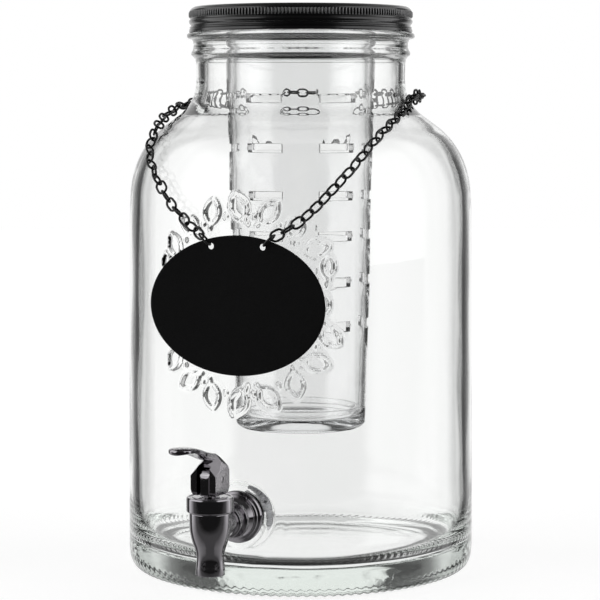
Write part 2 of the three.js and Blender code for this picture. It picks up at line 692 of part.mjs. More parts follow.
const tap = addGroup(root);
tap.position.set(0, SPOUT_Y, 0);
buildTap(tap);

// The stem, pin and lever turn together about the tap's vertical axis.
const handle = addGroup(tap);
handle.rotation.z = rad(LEVER_YAW);
buildHandle(handle);

buildInfuser(addGroup(root));
buildLid(addGroup(root));

const sign = addGroup(root);
sign.position.set(0, SIGN_Y, HANG_Z);
buildSign(sign);

buildChain(root);

export default root;
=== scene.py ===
"""Glass drinks jar with a tap, an infuser, a lid and a chalkboard sign hung on a chain.

The jar stands on z = 0 with its axis on +Z. Its front, with the tap and the sign, faces -Y,
and +X is to the right as seen from the front. Shapes are worked out in millimetres and
turned into metres when a mesh is made. The floor and camera are in metres.
"""
import math

import bpy
import bmesh
import numpy as np
from mathutils import Matrix, Vector


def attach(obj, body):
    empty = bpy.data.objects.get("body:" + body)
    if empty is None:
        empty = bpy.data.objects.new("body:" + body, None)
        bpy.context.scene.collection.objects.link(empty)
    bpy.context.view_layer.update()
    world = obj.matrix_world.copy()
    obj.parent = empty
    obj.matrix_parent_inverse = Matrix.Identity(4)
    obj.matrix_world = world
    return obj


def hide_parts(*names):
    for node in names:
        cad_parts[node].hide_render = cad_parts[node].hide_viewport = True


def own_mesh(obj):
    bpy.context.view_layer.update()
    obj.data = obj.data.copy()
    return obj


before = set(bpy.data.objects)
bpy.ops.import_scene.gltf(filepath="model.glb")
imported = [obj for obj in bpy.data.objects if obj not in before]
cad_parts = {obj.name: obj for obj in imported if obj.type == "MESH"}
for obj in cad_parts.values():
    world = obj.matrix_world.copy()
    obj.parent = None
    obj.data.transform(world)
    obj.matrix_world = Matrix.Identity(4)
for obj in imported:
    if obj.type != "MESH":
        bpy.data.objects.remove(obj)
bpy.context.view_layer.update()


MM = 0.001
rad = math.radians

# Sizes shared between sections, in mm
TAP_Z = 46.3                    # height of the tap hole
BOSS_FACE_Y = -103.6            # flat moulded pad that the tap's washer sits on
SPOUT_Y = -146.0                # upright axis of the tap
SIGN_Z = 164.0                  # middle of the sign and of the moulded ring behind it
LID_RIBS = 204                  # knurls round the lid


# ==================================================================== curves
def smooth01(x):
    x = np.clip(x, 0.0, 1.0)
    return x * x * (3 - 2 * x)


def squared_off(wave, power):
    """Sine or cosine values raised to a power with their sign kept."""
    return np.sign(wave) * np.abs(wave) ** power


def distance_along(path):
    return np.concatenate([[0], np.cumsum(np.linalg.norm(np.diff(path, axis=0), axis=1))])


def spline(points, steps):
    """Centripetal Catmull-Rom through the points, ends included, with steps per span."""
    knots = np.array(points, float)
    knots = np.vstack([2 * knots[0] - knots[1], knots, 2 * knots[-1] - knots[-2]])
    curve = []
    for p0, p1, p2, p3 in zip(knots, knots[1:], knots[2:], knots[3:]):
        d0, d1, d2 = [max(np.linalg.norm(b - a), 1e-9) ** 0.5
                      for a, b in ((p0, p1), (p1, p2), (p2, p3))]
        slope1 = ((p1 - p0) / d0 - (p2 - p0) / (d0 + d1) + (p2 - p1) / d1) * d1
        slope2 = ((p2 - p1) / d1 - (p3 - p1) / (d1 + d2) + (p3 - p2) / d2) * d1
        for k in range(steps):
            t = k / steps
            curve.append(p1 + slope1 * t + (-3 * p1 + 3 * p2 - 2 * slope1 - slope2) * t * t
                         + (2 * p1 - 2 * p2 + slope1 + slope2) * t ** 3)
    curve.append(knots[-2])
    return np.array(curve)


def rounded(points, closed=False, seg=4):
    """Polyline with corners rounded: each point is (a, b) or (a, b, radius)."""
    points = [tuple(p) + (0.0,) * (3 - len(p)) for p in points]
    count = len(points)
    result = []
    for i, (x, y, radius) in enumerate(points):
        if radius <= 0 or (not closed and i in (0, count - 1)):
            result.append((x, y))
            continue
        corner = np.array([x, y])
        back = np.array(points[i - 1][:2]) - corner
        ahead = np.array(points[(i + 1) % count][:2]) - corner
        back_length, ahead_length = np.linalg.norm(back), np.linalg.norm(ahead)
        back, ahead = back / back_length, ahead / ahead_length
        angle = math.acos(float(np.clip(back @ ahead, -1, 1)))
        if angle > math.pi - 0.02:
            result.append((x, y))
            continue
        trim = min(radius / math.tan(angle / 2), 0.48 * back_length, 0.48 * ahead_length)
        fitted = trim * math.tan(angle / 2)
        middle = (back + ahead) / np.linalg.norm(back + ahead)
        centre = corner + middle * (fitted / math.sin(angle / 2))
        start, end = corner + back * trim - centre, corner + ahead * trim - centre
        start_angle = math.atan2(start[1], start[0])
        sweep_angle = math.atan2(end[1], end[0]) - start_angle
        sweep_angle = (sweep_angle + math.pi) % (2 * math.pi) - math.pi
        for k in range(seg + 1):
            a = start_angle + sweep_angle * k / seg
            result.append((centre[0] + fitted * math.cos(a), centre[1] + fitted * math.sin(a)))
    return np.array(result)


def rod(radius, start, end):
    """Profile of a plain cylinder for turned()."""
    return [(0, start), (radius, start), (radius, end), (0, end)]


# ==================================================================== meshes
def solid(name, verts, faces):
    """Object from points in mm, with its faces turned outward."""
    mesh = bpy.data.meshes.new(name)
    mesh.from_pydata([tuple(v) for v in np.asarray(verts, float) * MM], [],
                     [tuple(int(i) for i in face) for face in faces])
    mesh.validate()
    mesh.update()
    ob = bpy.data.objects.new(name, mesh)
    bpy.context.scene.collection.objects.link(ob)
    bm = bmesh.new()
    bm.from_mesh(mesh)
    bmesh.ops.recalc_face_normals(bm, faces=bm.faces)
    bm.to_mesh(mesh)
    bm.free()
    return ob


def bake(ob):
    """Applies the object's modifiers."""
    depsgraph = bpy.context.evaluated_depsgraph_get()
    mesh = bpy.data.meshes.new_from_object(ob.evaluated_get(depsgraph), depsgraph=depsgraph)
    old = ob.data
    ob.modifiers.clear()
    ob.data = mesh
    bpy.data.meshes.remove(old)
    mesh.name = ob.name


def boolean(ob, tool, operation="DIFFERENCE"):
    """Combines with a tool object and removes it. EXACT is used where MANIFOLD changes nothing."""
    before = ob.data.copy()
    for solver in ("MANIFOLD", "EXACT"):
        modifier = ob.modifiers.new("cut", "BOOLEAN")
        modifier.operation = operation
        modifier.object = tool
        modifier.solver = solver
        bake(ob)
        count = len(ob.data.polygons)
        if count > 0 and (count != len(before.polygons) or solver == "EXACT"):
            break
        ob.data = before.copy()
    bpy.data.objects.remove(tool, do_unlink=True)


def bevel(ob, width, seg, angle):
    modifier = ob.modifiers.new("edge", "BEVEL")
    modifier.width = width * MM
    modifier.segments = seg
    modifier.limit_method = "ANGLE"
    modifier.angle_limit = rad(angle)
    modifier.use_clamp_overlap = True
    bake(ob)


def tidy(ob, dist):
    """Merges points closer than dist and dissolves edges flatter than one degree."""
    bm = bmesh.new()
    bm.from_mesh(ob.data)
    bmesh.ops.remove_doubles(bm, verts=bm.verts, dist=dist * MM)
    bmesh.ops.dissolve_limit(bm, angle_limit=rad(1.0), verts=bm.verts, edges=bm.edges)
    bm.to_mesh(ob.data)
    bm.free()


def piece(ob, body, replaced, slot, angle=38, weighted=False):
    """Gives a finished shape its material and shading, and its place in the product."""
    mesh = ob.data
    mesh.materials.clear()
    mesh.materials.append(MATERIALS[slot])
    mesh.shade_smooth()
    mesh.set_sharp_from_angle(angle=rad(angle))
    if weighted:
        modifier = ob.modifiers.new("faces", "WEIGHTED_NORMAL")
        modifier.keep_sharp = True
        modifier.weight = 80
        bake(ob)
    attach(ob, body)
    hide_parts(replaced)


# A row is (columns, points): columns are the numbers of the divisions it holds.
def pole(x, y, z):
    """A row that is a single point."""
    return np.array([0]), np.array([[x, y, z]])


def around(radius, angle, z):
    """Points round the Z axis; angle 0 is at the front and a quarter turn is at +X."""
    return np.stack([radius * np.sin(angle), -radius * np.cos(angle), z + 0 * angle], 1)


def weave(rows, loop=False):
    """Points and faces between rows. Rows may differ in columns where one holds the other's."""
    bases = np.cumsum([0] + [len(points) for _, points in rows])
    faces = []
    pairs = list(zip(range(len(rows) - 1), range(1, len(rows))))
    if loop:
        pairs.append((len(rows) - 1, 0))
    for i, j in pairs:
        base_i, base_j = bases[i], bases[j]
        count_i, count_j = len(rows[i][0]), len(rows[j][0])
        if count_i == 1:
            faces += [(base_i, base_j + (k + 1) % count_j, base_j + k) for k in range(count_j)]
        elif count_j == 1:
            faces += [(base_i + k, base_i + (k + 1) % count_i, base_j) for k in range(count_i)]
        elif count_i == count_j:
            faces += [(base_i + k, base_i + (k + 1) % count_i,
                       base_j + (k + 1) % count_j, base_j + k) for k in range(count_i)]
        else:
            fine, coarse = (j, i) if count_j > count_i else (i, j)
            place = {int(column): k for k, column in enumerate(rows[fine][0])}
            columns = rows[coarse][0]
            for k in range(len(columns)):
                after = (k + 1) % len(columns)
                run = [place[int(columns[k])]]
                while run[-1] != place[int(columns[after])]:
                    run.append((run[-1] + 1) % len(place))
                face = [bases[coarse] + k, bases[coarse] + after]
                face += [bases[fine] + x for x in reversed(run)]
                faces.append(face if coarse == i else face[::-1])
    return np.vstack([points for _, points in rows]), faces


# Rotations that lay a solid turned round +Z along +X or +Y
AXIS_TURNS = {
    "x": np.array(Matrix.Rotation(math.pi / 2, 3, "Y")),
    "y": np.array(Matrix.Rotation(-math.pi / 2, 3, "X")),
}


def turned(name, profile, sides, at=(0, 0, 0), axis="z", start=0.0):
    """Turned solid from (radius, height) points, closed on itself unless both ends are on the
    axis."""
    angle = start + np.arange(sides) / sides * 2 * math.pi
    rows = [pole(0, 0, z) if r < 1e-6 else (np.arange(sides), around(r, angle, z))
            for r, z in profile]
    capped = profile[0][0] < 1e-6 and profile[-1][0] < 1e-6
    verts, faces = weave(rows, loop=not capped)
    if axis != "z":
        verts = (AXIS_TURNS[axis] @ verts.T).T
    return solid(name, verts + np.array(at), faces)


def prism(name, outline, start, end, plane):
    """Extruded outline. side: (forward, z) along X; front: (x, z) along Y; plan: (x, y) along Z."""
    a, b = np.asarray(outline, float).T
    count = len(a)

    def place(level):
        level = np.full(count, level)
        columns = {"side": [level, -a, b], "front": [a, level, b], "plan": [a, b, level]}
        return np.stack(columns[plane], 1)
    faces = [tuple(range(count)), tuple(range(2 * count - 1, count - 1, -1))]
    faces += [(k, (k + 1) % count, count + (k + 1) % count, count + k) for k in range(count)]
    return solid(name, np.vstack([place(start), place(end)]), faces)


# ================================================================= materials
class Graph:
    """A shader node tree, with short calls for the nodes used here."""

    def __init__(self, tree):
        self.tree = tree
        tree.nodes.clear()

    def add(self, kind, inputs=None, **settings):
        """New node; each input takes a value, or a socket to link from."""
        node = self.tree.nodes.new("ShaderNode" + kind)
        for name, value in settings.items():
            setattr(node, name, value)
        for key, value in (inputs or {}).items():
            if isinstance(value, bpy.types.NodeSocket):
                self.tree.links.new(value, node.inputs[key])
            else:
                node.inputs[key].default_value = value
        return node

    def calc(self, operation, *values):
        return self.add("Math", dict(enumerate(values)), operation=operation).outputs[0]

    def scaled(self, vector, factor):
        node = self.add("VectorMath", operation="SCALE", inputs={0: vector, "Scale": factor})
        return node.outputs[0]

    def mix(self, factor, first, second):
        """Blend of two colours."""
        node = self.add("Mix", data_type="RGBA", inputs={0: factor, 6: first, 7: second})
        return node.outputs[2]

    def split(self, vector):
        return self.add("SeparateXYZ", {0: vector}).outputs

    def in_camera(self, vector, kind="VECTOR"):
        """x to the right, y up and z ahead of whichever camera is looking."""
        node = self.add("VectorTransform", {0: vector}, vector_type=kind,
                        convert_from="WORLD", convert_to="CAMERA")
        return self.split(node.outputs[0])

    def noise(self, scale, detail=3.0, rough=0.5, stretch=(1, 1, 1), seed=0.0):
        coords = self.add("TexCoord").outputs["Object"]
        mapping = self.add("Mapping", {
            "Vector": coords, "Scale": stretch, "Location": (seed, seed * 0.7, seed * 1.3)})
        return self.add("TexNoise", {
            "Vector": mapping.outputs["Vector"], "Scale": scale, "Detail": detail,
            "Roughness": rough}).outputs["Fac"]

    def remap(self, value, low=0.0, high=1.0, start=0.3, end=0.7):
        """Maps start..end to low..high."""
        return self.add("MapRange", {
            "Value": value, "From Min": start, "From Max": end, "To Min": low, "To Max": high,
        }).outputs["Result"]

    def ramp(self, value, stops):
        """Colour ramp through (position, colour) stops."""
        node = self.add("ValToRGB", {"Fac": value})
        elements = node.color_ramp.elements
        for element, (position, colour) in ((elements[0], stops[0]), (elements[1], stops[-1])):
            element.position = position
            element.color = (*colour, 1)
        for position, colour in stops[1:-1]:
            elements.new(position).color = (*colour, 1)
        return node.outputs["Color"]

    def tint(self, value, first, second, start=0.3, end=0.7):
        return self.ramp(value, [(start, first), (end, second)])

    def tones(self, value, stops):
        """Ramp of greys through (position, brightness) stops."""
        return self.ramp(value, [(position, (tone,) * 3) for position, tone in stops])

    def bump(self, height, strength, distance):
        return self.add("Bump", {
            "Height": height, "Strength": strength, "Distance": distance}).outputs["Normal"]

    def worn_edges(self, colour, worn, amount):
        """Mixes another tone in where the surface is sharply convex."""
        pointiness = self.add("NewGeometry").outputs["Pointiness"]
        factor = self.remap(pointiness, high=amount, start=0.53, end=0.62)
        return self.mix(factor, colour, (*worn, 1))

    def principled(self, inputs, volume=None):
        shader = self.add("BsdfPrincipled", inputs)
        outputs = {"Surface": shader.outputs[0]}
        if volume:
            outputs["Volume"] = volume
        self.add("OutputMaterial", outputs)


def new_material(name):
    material = bpy.data.materials.new(name)
    material.use_nodes = True
    return material, Graph(material.node_tree)


def clear_material(name, ior, grain, palest, smudge_scale, smudge_seed, roughest,
                   bump_strength, bump_distance, absorbed, density):
    """Clear glass or plastic, a little uneven, tinted by its thickness."""
    material, graph = new_material(name)
    ripple = graph.noise(**grain)
    smudges = graph.noise(scale=smudge_scale, seed=smudge_seed)
    volume = graph.add("VolumeAbsorption", {"Color": (*absorbed, 1), "Density": density})
    graph.principled({
        "Transmission Weight": 1.0,
        "IOR": ior,
        "Base Color": graph.tint(ripple, palest, (1.0, 1.0, 1.0)),
        "Roughness": graph.remap(smudges, low=0.0, high=roughest),
        "Normal": graph.bump(ripple, strength=bump_strength, distance=bump_distance),
    }, volume.outputs[0])
    return material


def gunmetal_material():
    material, graph = new_material("gunmetal_material")
    base = (0.30, 0.288, 0.305)
    cloud = graph.noise(scale=70.0, detail=4.0, rough=0.6)
    colour = graph.tint(cloud, tuple(c * 0.86 for c in base), base)
    smudges = graph.noise(scale=260.0, rough=0.6, seed=2.0)
    grain = graph.noise(scale=420.0, detail=2.0, seed=8.0)
    graph.principled({
        "Metallic": 1.0,
        "Base Color": graph.worn_edges(colour, worn=(0.56, 0.54, 0.55), amount=0.35),
        "Roughness": graph.remap(smudges, low=0.05, high=0.13),
        "Normal": graph.bump(grain, strength=0.10, distance=0.0002),
    })
    return material


def steel_material():
    material, graph = new_material("plain_steel_material")
    brush = graph.noise(scale=700.0, rough=0.6, stretch=(1, 0.08, 1))
    colour = graph.tint(brush, (0.50, 0.50, 0.52), (0.64, 0.64, 0.66))
    graph.principled({
        "Metallic": 1.0,
        "Base Color": graph.worn_edges(colour, worn=(0.8, 0.8, 0.82), amount=0.4),
        "Roughness": graph.remap(brush, low=0.22, high=0.38),
        "Normal": graph.bump(brush, strength=0.15, distance=0.0002),
    })
    return material


def lid_material():
    """Black gloss paint, with a painted highlight that makes the crests of the knurl a little
    lighter.
    """
    material, graph = new_material("black_lid_paint_material")
    band_middle, band_half = 0.3271, 0.0017       # height of the knurled band, in metres
    cloud = graph.noise(scale=45.0, detail=4.0, rough=0.55)
    colour = graph.tint(cloud, (0.003, 0.003, 0.0034), (0.006, 0.006, 0.0064))
    x, y, z = graph.split(graph.add("TexCoord").outputs["Object"])
    angle = graph.calc("ARCTAN2", x, graph.calc("MULTIPLY", y, -1.0))
    wave = graph.calc("COSINE", graph.calc("MULTIPLY", angle, float(LID_RIBS)))
    # painted highlight: light grey mixed onto the knurl's crests, in patches, on the knurled band
    # only
    crest = graph.remap(wave, start=0.30, end=0.95)
    on_band = graph.calc("COMPARE", z, band_middle, band_half)
    patches = graph.remap(graph.noise(scale=60.0, seed=12.0), low=0.55, high=1.0)
    crest_highlight = graph.calc("MULTIPLY", graph.calc("MULTIPLY", crest, on_band), patches)
    paint = graph.worn_edges(colour, worn=(0.04, 0.04, 0.042), amount=0.14)
    smudges = graph.noise(scale=320.0, detail=4.0, rough=0.6, seed=4.0)
    orange_peel = graph.noise(scale=650.0, detail=2.0, seed=9.0)
    normal = graph.bump(orange_peel, strength=0.16, distance=0.0003)
    graph.principled({
        # the painted crest highlight is mixed into the base colour here
        "Base Color": graph.mix(crest_highlight, paint, (0.24, 0.24, 0.245, 1)),
        "Roughness": graph.remap(smudges, low=0.15, high=0.27),
        "Specular IOR Level": 0.45,
        "Coat Weight": 0.3,
        "Coat Roughness": 0.12,
        "Normal": normal,
        "Coat Normal": normal,
    })
    return material


def chalkboard_material():
    material, graph = new_material("chalkboard_paint_material")
    dust = graph.noise(scale=26.0, detail=5.0, rough=0.62, stretch=(1, 1, 0.6), seed=1.5)
    grit = graph.noise(scale=1500.0, rough=0.6)
    colour = graph.tint(dust, (0.0026, 0.0026, 0.0029), (0.0042, 0.0042, 0.0046),
                        start=0.35, end=0.72)
    graph.principled({
        "Base Color": graph.worn_edges(colour, worn=(0.03, 0.03, 0.032), amount=0.35),
        "Roughness": graph.remap(grit, low=0.62, high=0.86),
        "Specular IOR Level": 0.16,
        "Normal": graph.bump(grit, strength=0.35, distance=0.0002),
    })
    return material


def chain_material():
    material, graph = new_material("black_chain_wire_material")
    cloud = graph.noise(scale=400.0, rough=0.6)
    colour = graph.tint(cloud, (0.0035, 0.0035, 0.0038), (0.007, 0.007, 0.0075))
    smudges = graph.noise(scale=900.0, detail=2.0, seed=6.0)
    grain = graph.noise(scale=1500.0, detail=2.0, seed=7.0)
    graph.principled({
        "Base Color": graph.worn_edges(colour, worn=(0.05, 0.05, 0.05), amount=0.25),
        "Roughness": graph.remap(smudges, low=0.26, high=0.42),
        "Specular IOR Level": 0.45,
        "Normal": graph.bump(grain, strength=0.2, distance=0.0001),
    })
    return material


def matte_material(name, dark, light, rough, cloud_scale, bump_strength, specular):
    material, graph = new_material(name)
    grain = graph.noise(scale=300.0, detail=4.0, rough=0.6)
    cloud = graph.noise(scale=cloud_scale, rough=0.6, seed=2.0)
    graph.principled({
        "Base Color": graph.tint(cloud, dark, light),
        "Roughness": graph.remap(grain, low=rough[0], high=rough[1]),
        "Specular IOR Level": specular,
        "Normal": graph.bump(grain, strength=bump_strength, distance=0.0003),
    })
    return material


# Material of each slot
MATERIALS = {
    "clear_glass": clear_material(
        "jar_glass_material", ior=1.5, grain=dict(scale=38.0, detail=2.0, stretch=(1, 1, 0.35)),
        palest=(0.985, 0.99, 0.985), smudge_scale=90.0, smudge_seed=3.0, roughest=0.012,
        bump_strength=0.12, bump_distance=0.0006, absorbed=(0.64, 0.77, 0.67), density=2.3),
    "clear_plastic": clear_material(
        "clear_plastic_material", ior=1.49, grain=dict(scale=60.0, rough=0.55),
        palest=(0.99, 0.992, 0.995), smudge_scale=140.0, smudge_seed=5.0, roughest=0.03,
        bump_strength=0.10, bump_distance=0.0004, absorbed=(0.86, 0.89, 0.92), density=2.2),
    "gunmetal_plate": gunmetal_material(),
    "plain_steel": steel_material(),
    "black_lid_paint": lid_material(),
    "chalkboard_paint": chalkboard_material(),
    "black_chain_wire": chain_material(),
    "black_rubber": matte_material(
        "black_rubber_material", dark=(0.008, 0.008, 0.009), light=(0.016, 0.016, 0.017),
        rough=(0.55, 0.75), cloud_scale=120.0, bump_strength=0.25, specular=0.3),
    "white_silicone": matte_material(
        "white_silicone_material", dark=(0.66, 0.66, 0.64), light=(0.78, 0.78, 0.76),
        rough=(0.45, 0.6), cloud_scale=90.0, bump_strength=0.15, specular=0.4),
    "liner_foam": matte_material(
        "liner_foam_material", dark=(0.70, 0.69, 0.65), light=(0.82, 0.81, 0.78),
        rough=(0.6, 0.8), cloud_scale=160.0, bump_strength=0.35, specular=0.3),
}


# ================================================================= glass jar
# Outlines as (radius, z). The first four follow the outside from the middle of the foot up
# over the rim; the last goes down the inside to the middle of the floor.
FOOT = spline([
    (0, 2.6), (30, 2.5), (58, 2.1), (76, 1.3), (86, 0.45), (91, 0.02), (95, 0.12),
    (98.3, 0.95), (100.7, 2.9), (102.2, 6.6), (102.8, 11.0), (102.9, 15.5)], 10)
WALL = spline([
    (102.9, 15.5), (102.75, 40), (102.5, 75), (102.15, 120), (101.85, 165), (101.5, 198),
    (101.2, 214), (100.3, 227.2), (98.3, 236.2), (94.8, 245.0), (89.2, 253.6), (82.6, 260.2),
    (75.6, 265.5), (69.8, 270.0), (65.6, 274.8), (62.9, 280.6), (61.8, 287.5),
    (61.8, 298.6)], 10)
NECK = spline([
    (61.8, 298.6), (62.6, 301.4), (64.6, 303.4), (64.5, 305.2), (63.5, 307.2), (63.4, 310.2),
    (64.2, 312.4), (66.7, 313.2), (67.3, 314.5), (66.6, 316.0), (63.4, 316.5),
    (62.8, 317.2)], 8)
RIM = rounded([(62.8, 317.2), (62.8, 326.5, 1.5), (58.0, 326.5, 1.7), (58.0, 312.5, 2.0)], seg=6)
INSIDE = spline([
    (58.0, 312.5), (57.2, 303), (57.0, 292), (57.4, 280), (60.4, 272), (70.6, 263.4),
    (83.8, 252.0), (90.9, 240), (94.9, 225.8), (95.8, 212), (96.5, 130), (97.1, 60),
    (97.0, 34), (95.6, 25), (91.5, 18.5), (84, 14.4), (70, 12.4), (40, 12.05), (0, 12.0)], 8)

# Columns round the jar: every half degree at the front (within 37.5 degrees of it) and on the
# heel, and every three degrees elsewhere.
JAR_COLUMNS = 720
FRONT_COLUMNS = 75
ALL_COLUMNS = np.arange(JAR_COLUMNS)
MAIN_COLUMNS = np.array([c for c in range(JAR_COLUMNS)
                         if min(c, JAR_COLUMNS - c) <= FRONT_COLUMNS
                         or (c - FRONT_COLUMNS) % 6 == 0])


def resample(path, spacing):
    """Points along the path whose distance apart follows spacing(radius, z)."""
    distance = distance_along(path)
    fine = np.linspace(0, distance[-1], max(60, int(distance[-1] / 0.12)))
    r, z = np.interp(fine, distance, path[:, 0]), np.interp(fine, distance, path[:, 1])
    gaps = np.array([spacing(a, b) for a, b in zip(r[1:], z[1:])])
    cost = np.concatenate([[0], np.cumsum(np.diff(fine) / gaps)])
    count = max(2, int(round(cost[-1])))
    at = np.interp(np.linspace(0, cost[-1], count + 1), cost, fine)
    return np.stack([np.interp(at, distance, path[:, 0]), np.interp(at, distance, path[:, 1])], 1)


# (height below which it holds, distance between rows) above the heel
OUTER_SPACINGS = [(25, 2.6), (71, 1.02), (99, 3.4), (236, 0.98), (286, 1.2), (317, 0.95),
                  (math.inf, 0.7)]


def outer_spacing(radius, z):
    if z < 15:
        return 12.0 if radius < 80 else 1.5
    return next(gap for limit, gap in OUTER_SPACINGS if z < limit)


def inner_spacing(radius, z):
    if z > 210 or (10 < z < 36 and radius > 60):
        return 2.0
    return 5.0 if radius > 60 else 14.0


# ---- raised ring of leaf and bead mouldings on the front of the glass.
# A stroke is (start, end, half width, height), its ends as (distance round the wall, z).
RELIEF_RADIUS = 102.0           # turns angle into distance round the wall
LEAF_RING = 54.0                # radius of the ring of leaves
LEAF_STEP = 18.0                # degrees between leaves
LEAF_LEAN = 26                  # degrees that leaves lean, by turns either way
LEAF_ARCS = [(36.0, 7), (198.0, 9)]               # first angle and number of leaves


def leaf(x, z, turn, length=15.0, width=9.4):
    """Outline and stalk of one leaf; turn is the direction of its long axis."""
    t = np.linspace(0, 1, 11)
    half = 0.5 * width * np.sin(math.pi * t) ** 0.8
    along = (t - 0.5) * length
    outline = np.concatenate([np.stack([along, half], 1), np.stack([along, -half], 1)[::-1][1:]])
    stalk = np.array([[-0.66 * length, 0.0], [-0.44 * length, 0.0]])
    c, s = math.cos(turn), math.sin(turn)
    strokes = []
    for line in (outline, stalk):
        points = np.stack([x + line[:, 0] * c - line[:, 1] * s,
                           z + line[:, 0] * s + line[:, 1] * c], 1)
        strokes += [(start, end, 1.45, 1.4) for start, end in zip(points, points[1:])]
    return strokes


def bead(x, z):
    return [(np.array([x, z]), np.array([x + 0.01, z]), 1.9, 1.5)]


def relief_strokes():
    strokes = []
    for first, count in LEAF_ARCS:
        for k in range(count):
            degrees = first + LEAF_STEP * k
            a = rad(degrees)
            strokes += leaf(LEAF_RING * math.cos(a), SIGN_Z + LEAF_RING * math.sin(a),
                            a + rad(LEAF_LEAN if k % 2 else -LEAF_LEAN))
            if k < count - 1:
                b = rad(degrees + LEAF_STEP / 2)
                strokes += bead(LEAF_RING * 0.92 * math.cos(b),
                                SIGN_Z + LEAF_RING * 0.92 * math.sin(b))
    for side in (-1, 1):
        strokes += leaf(side * 50.5, SIGN_Z + 22.0, rad(90), length=12.0, width=6.6)
        strokes += leaf(side * 47.5, SIGN_Z + 1.0, rad(90), length=12.0, width=6.6)
        strokes += bead(side * 50.0, SIGN_Z + 11.5)
        strokes += bead(side * 49.0, SIGN_Z - 9.5)
    return strokes


RELIEF = relief_strokes()


def relief_height(across, z):
    """Height of the mouldings at distances across the front, at one height z."""
    height = np.zeros_like(across)
    for start, end, half, top in RELIEF:
        low, high = np.minimum(start, end) - half, np.maximum(start, end) + half
        near = (across > low[0]) & (across < high[0])
        if not (low[1] < z < high[1] and near.any()):
            continue
        points = np.stack([across[near], np.full(near.sum(), z)], 1)
        step = end - start
        t = np.clip(((points - start) @ step) / (step @ step), 0, 1)
        off = np.linalg.norm(points - (start + t[:, None] * step), axis=1)
        dome = top * np.sqrt(np.clip(1 - (off / half) ** 2, 0, 1)) * 0.6
        height[near] = np.maximum(height[near], dome + top * 0.4 * smooth01(1 - off / half))
    return height


# Low, slow waves, as in pressed glass: (waves round, wavelength up, phase, height)
GLASS_WAVES = [(3, 190, 0.3, 0.30), (5, 118, 1.9, 0.26), (8, 83, 4.0, 0.20),
               (13, 61, 2.2, 0.13), (21, 47, 5.1, 0.08), (34, 150, 0.9, 0.05)]


def wobble(angle, z, seed, tall=1.0):
    total = 0
    for k, (count, wavelength, phase, height) in enumerate(GLASS_WAVES):
        total = total + (height * np.sin(count * angle + phase + seed * (k + 1)) * np.sin(
            2 * math.pi * z / (wavelength * tall) + 1.7 * phase + seed))
    return total


HEEL_RIDGES = 120
THREAD_START_Z = 318.3
THREAD_PITCH = 6.35
THREAD_HALF = 1.15              # half the width of the thread
THREAD_HEIGHT = 1.25
THREAD_TURNS = 1.05
THREAD_FADE = 0.05              # part of a turn over which each end fades
BOSS_RADIUS = 20.6              # where the wall starts to flatten into the tap's pad
BOSS_BLEND = 3.9                # width of that change


def heel_ridges(radius, z, angle):
    """Short slanting ridges moulded round the foot."""
    if z < 6:
        band = math.exp(-((radius - 96.4) / 4.4) ** 2)
    else:
        band = math.exp(-((z - 3.4) / 3.4) ** 2)
    skew = 0.10 * (z - 2) - 0.02 * (radius - 97)
    ridges = (0.5 + 0.5 * np.cos(HEEL_RIDGES * angle + skew * 7.0)) ** 1.3
    return 0.8 * band * ridges - 0.5 * band


def thread_height(angle, z):
    """Right-handed screw thread with one start."""
    height = 0.0
    for lap in (0, 1):
        t = angle / (2 * math.pi) + lap
        crest = THREAD_START_Z + t * THREAD_PITCH
        fade = np.clip(np.minimum(t / THREAD_FADE, (THREAD_TURNS - t) / THREAD_FADE), 0, 1)
        shape = np.sqrt(np.clip(1 - ((z - crest) / THREAD_HALF) ** 2, 0, 1))
        height = np.maximum(height, THREAD_HEIGHT * fade * shape)
    return height


def outer_row(radius, z, normal_r, normal_z):
    if radius < 1e-6:
        return pole(0, 0, z)
    on_heel = z < 14.5 and radius > 82
    columns = ALL_COLUMNS if on_heel else MAIN_COLUMNS
    angle = columns / JAR_COLUMNS * 2 * math.pi
    share = float(smooth01((z - 24) / 30) * smooth01((300 - z) / 30))
    raised = 0.05 * wobble(angle, z, seed=0.4, tall=1.3) * share
    if on_heel:
        raised = raised + heel_ridges(radius, z, angle)
    if 98 < z < 230:
        signed = (angle + math.pi) % (2 * math.pi) - math.pi
        raised = raised + relief_height(signed * RELIEF_RADIUS, z)
    if 316.9 < z < 325.6 and normal_r > 0.8:
        raised = np.maximum(raised, thread_height(angle, z))
    points = around(radius + raised * normal_r, angle, z + raised * normal_z)
    if 14 < z < 80:
        x, y = points[:, 0], points[:, 1]
        from_hole = np.hypot(x, z - TAP_Z)
        flat = np.where(y < 0, smooth01((BOSS_RADIUS - from_hole) / BOSS_BLEND), 0.0)
        groove = np.where(y < 0, 0.12 * np.exp(-((from_hole - 26.0) / 1.6) ** 2), 0.0)
        points[:, 1] = y + (BOSS_FACE_Y - y) * flat - groove
    return columns, points


def inner_row(radius, z):
    if radius < 1e-6:
        return pole(0, 0, z)
    angle = MAIN_COLUMNS / JAR_COLUMNS * 2 * math.pi
    share = smooth01((z - 16) / 20) * smooth01((322 - z) / 20)
    lift = 0
    if z < 16:
        lift = 0.35 * wobble(angle, radius * 2.0, seed=1.0) * smooth01((radius - 8) / 30)
    wavy = radius + 0.20 * share * wobble(angle, z, seed=2.1, tall=1.5)
    return MAIN_COLUMNS, around(wavy, angle, z + lift)


def jar_glass():
    outer = resample(np.vstack([FOOT, WALL[1:], NECK[1:], RIM[1:]]), outer_spacing)
    inner = resample(INSIDE, inner_spacing)
    normals = np.gradient(outer, axis=0)
    normals = np.stack([normals[:, 1], -normals[:, 0]], 1)
    normals /= np.linalg.norm(normals, axis=1)[:, None]
    rows = [outer_row(*point, *normal) for point, normal in zip(outer, normals)]
    rows += [inner_row(*point) for point in inner[1:]]
    jar = solid("jar_glass", *weave(rows))
    boolean(jar, turned("hole_tool", rod(8.0, 0, 30), 64, at=(0, -112, TAP_Z), axis="y"))
    return jar


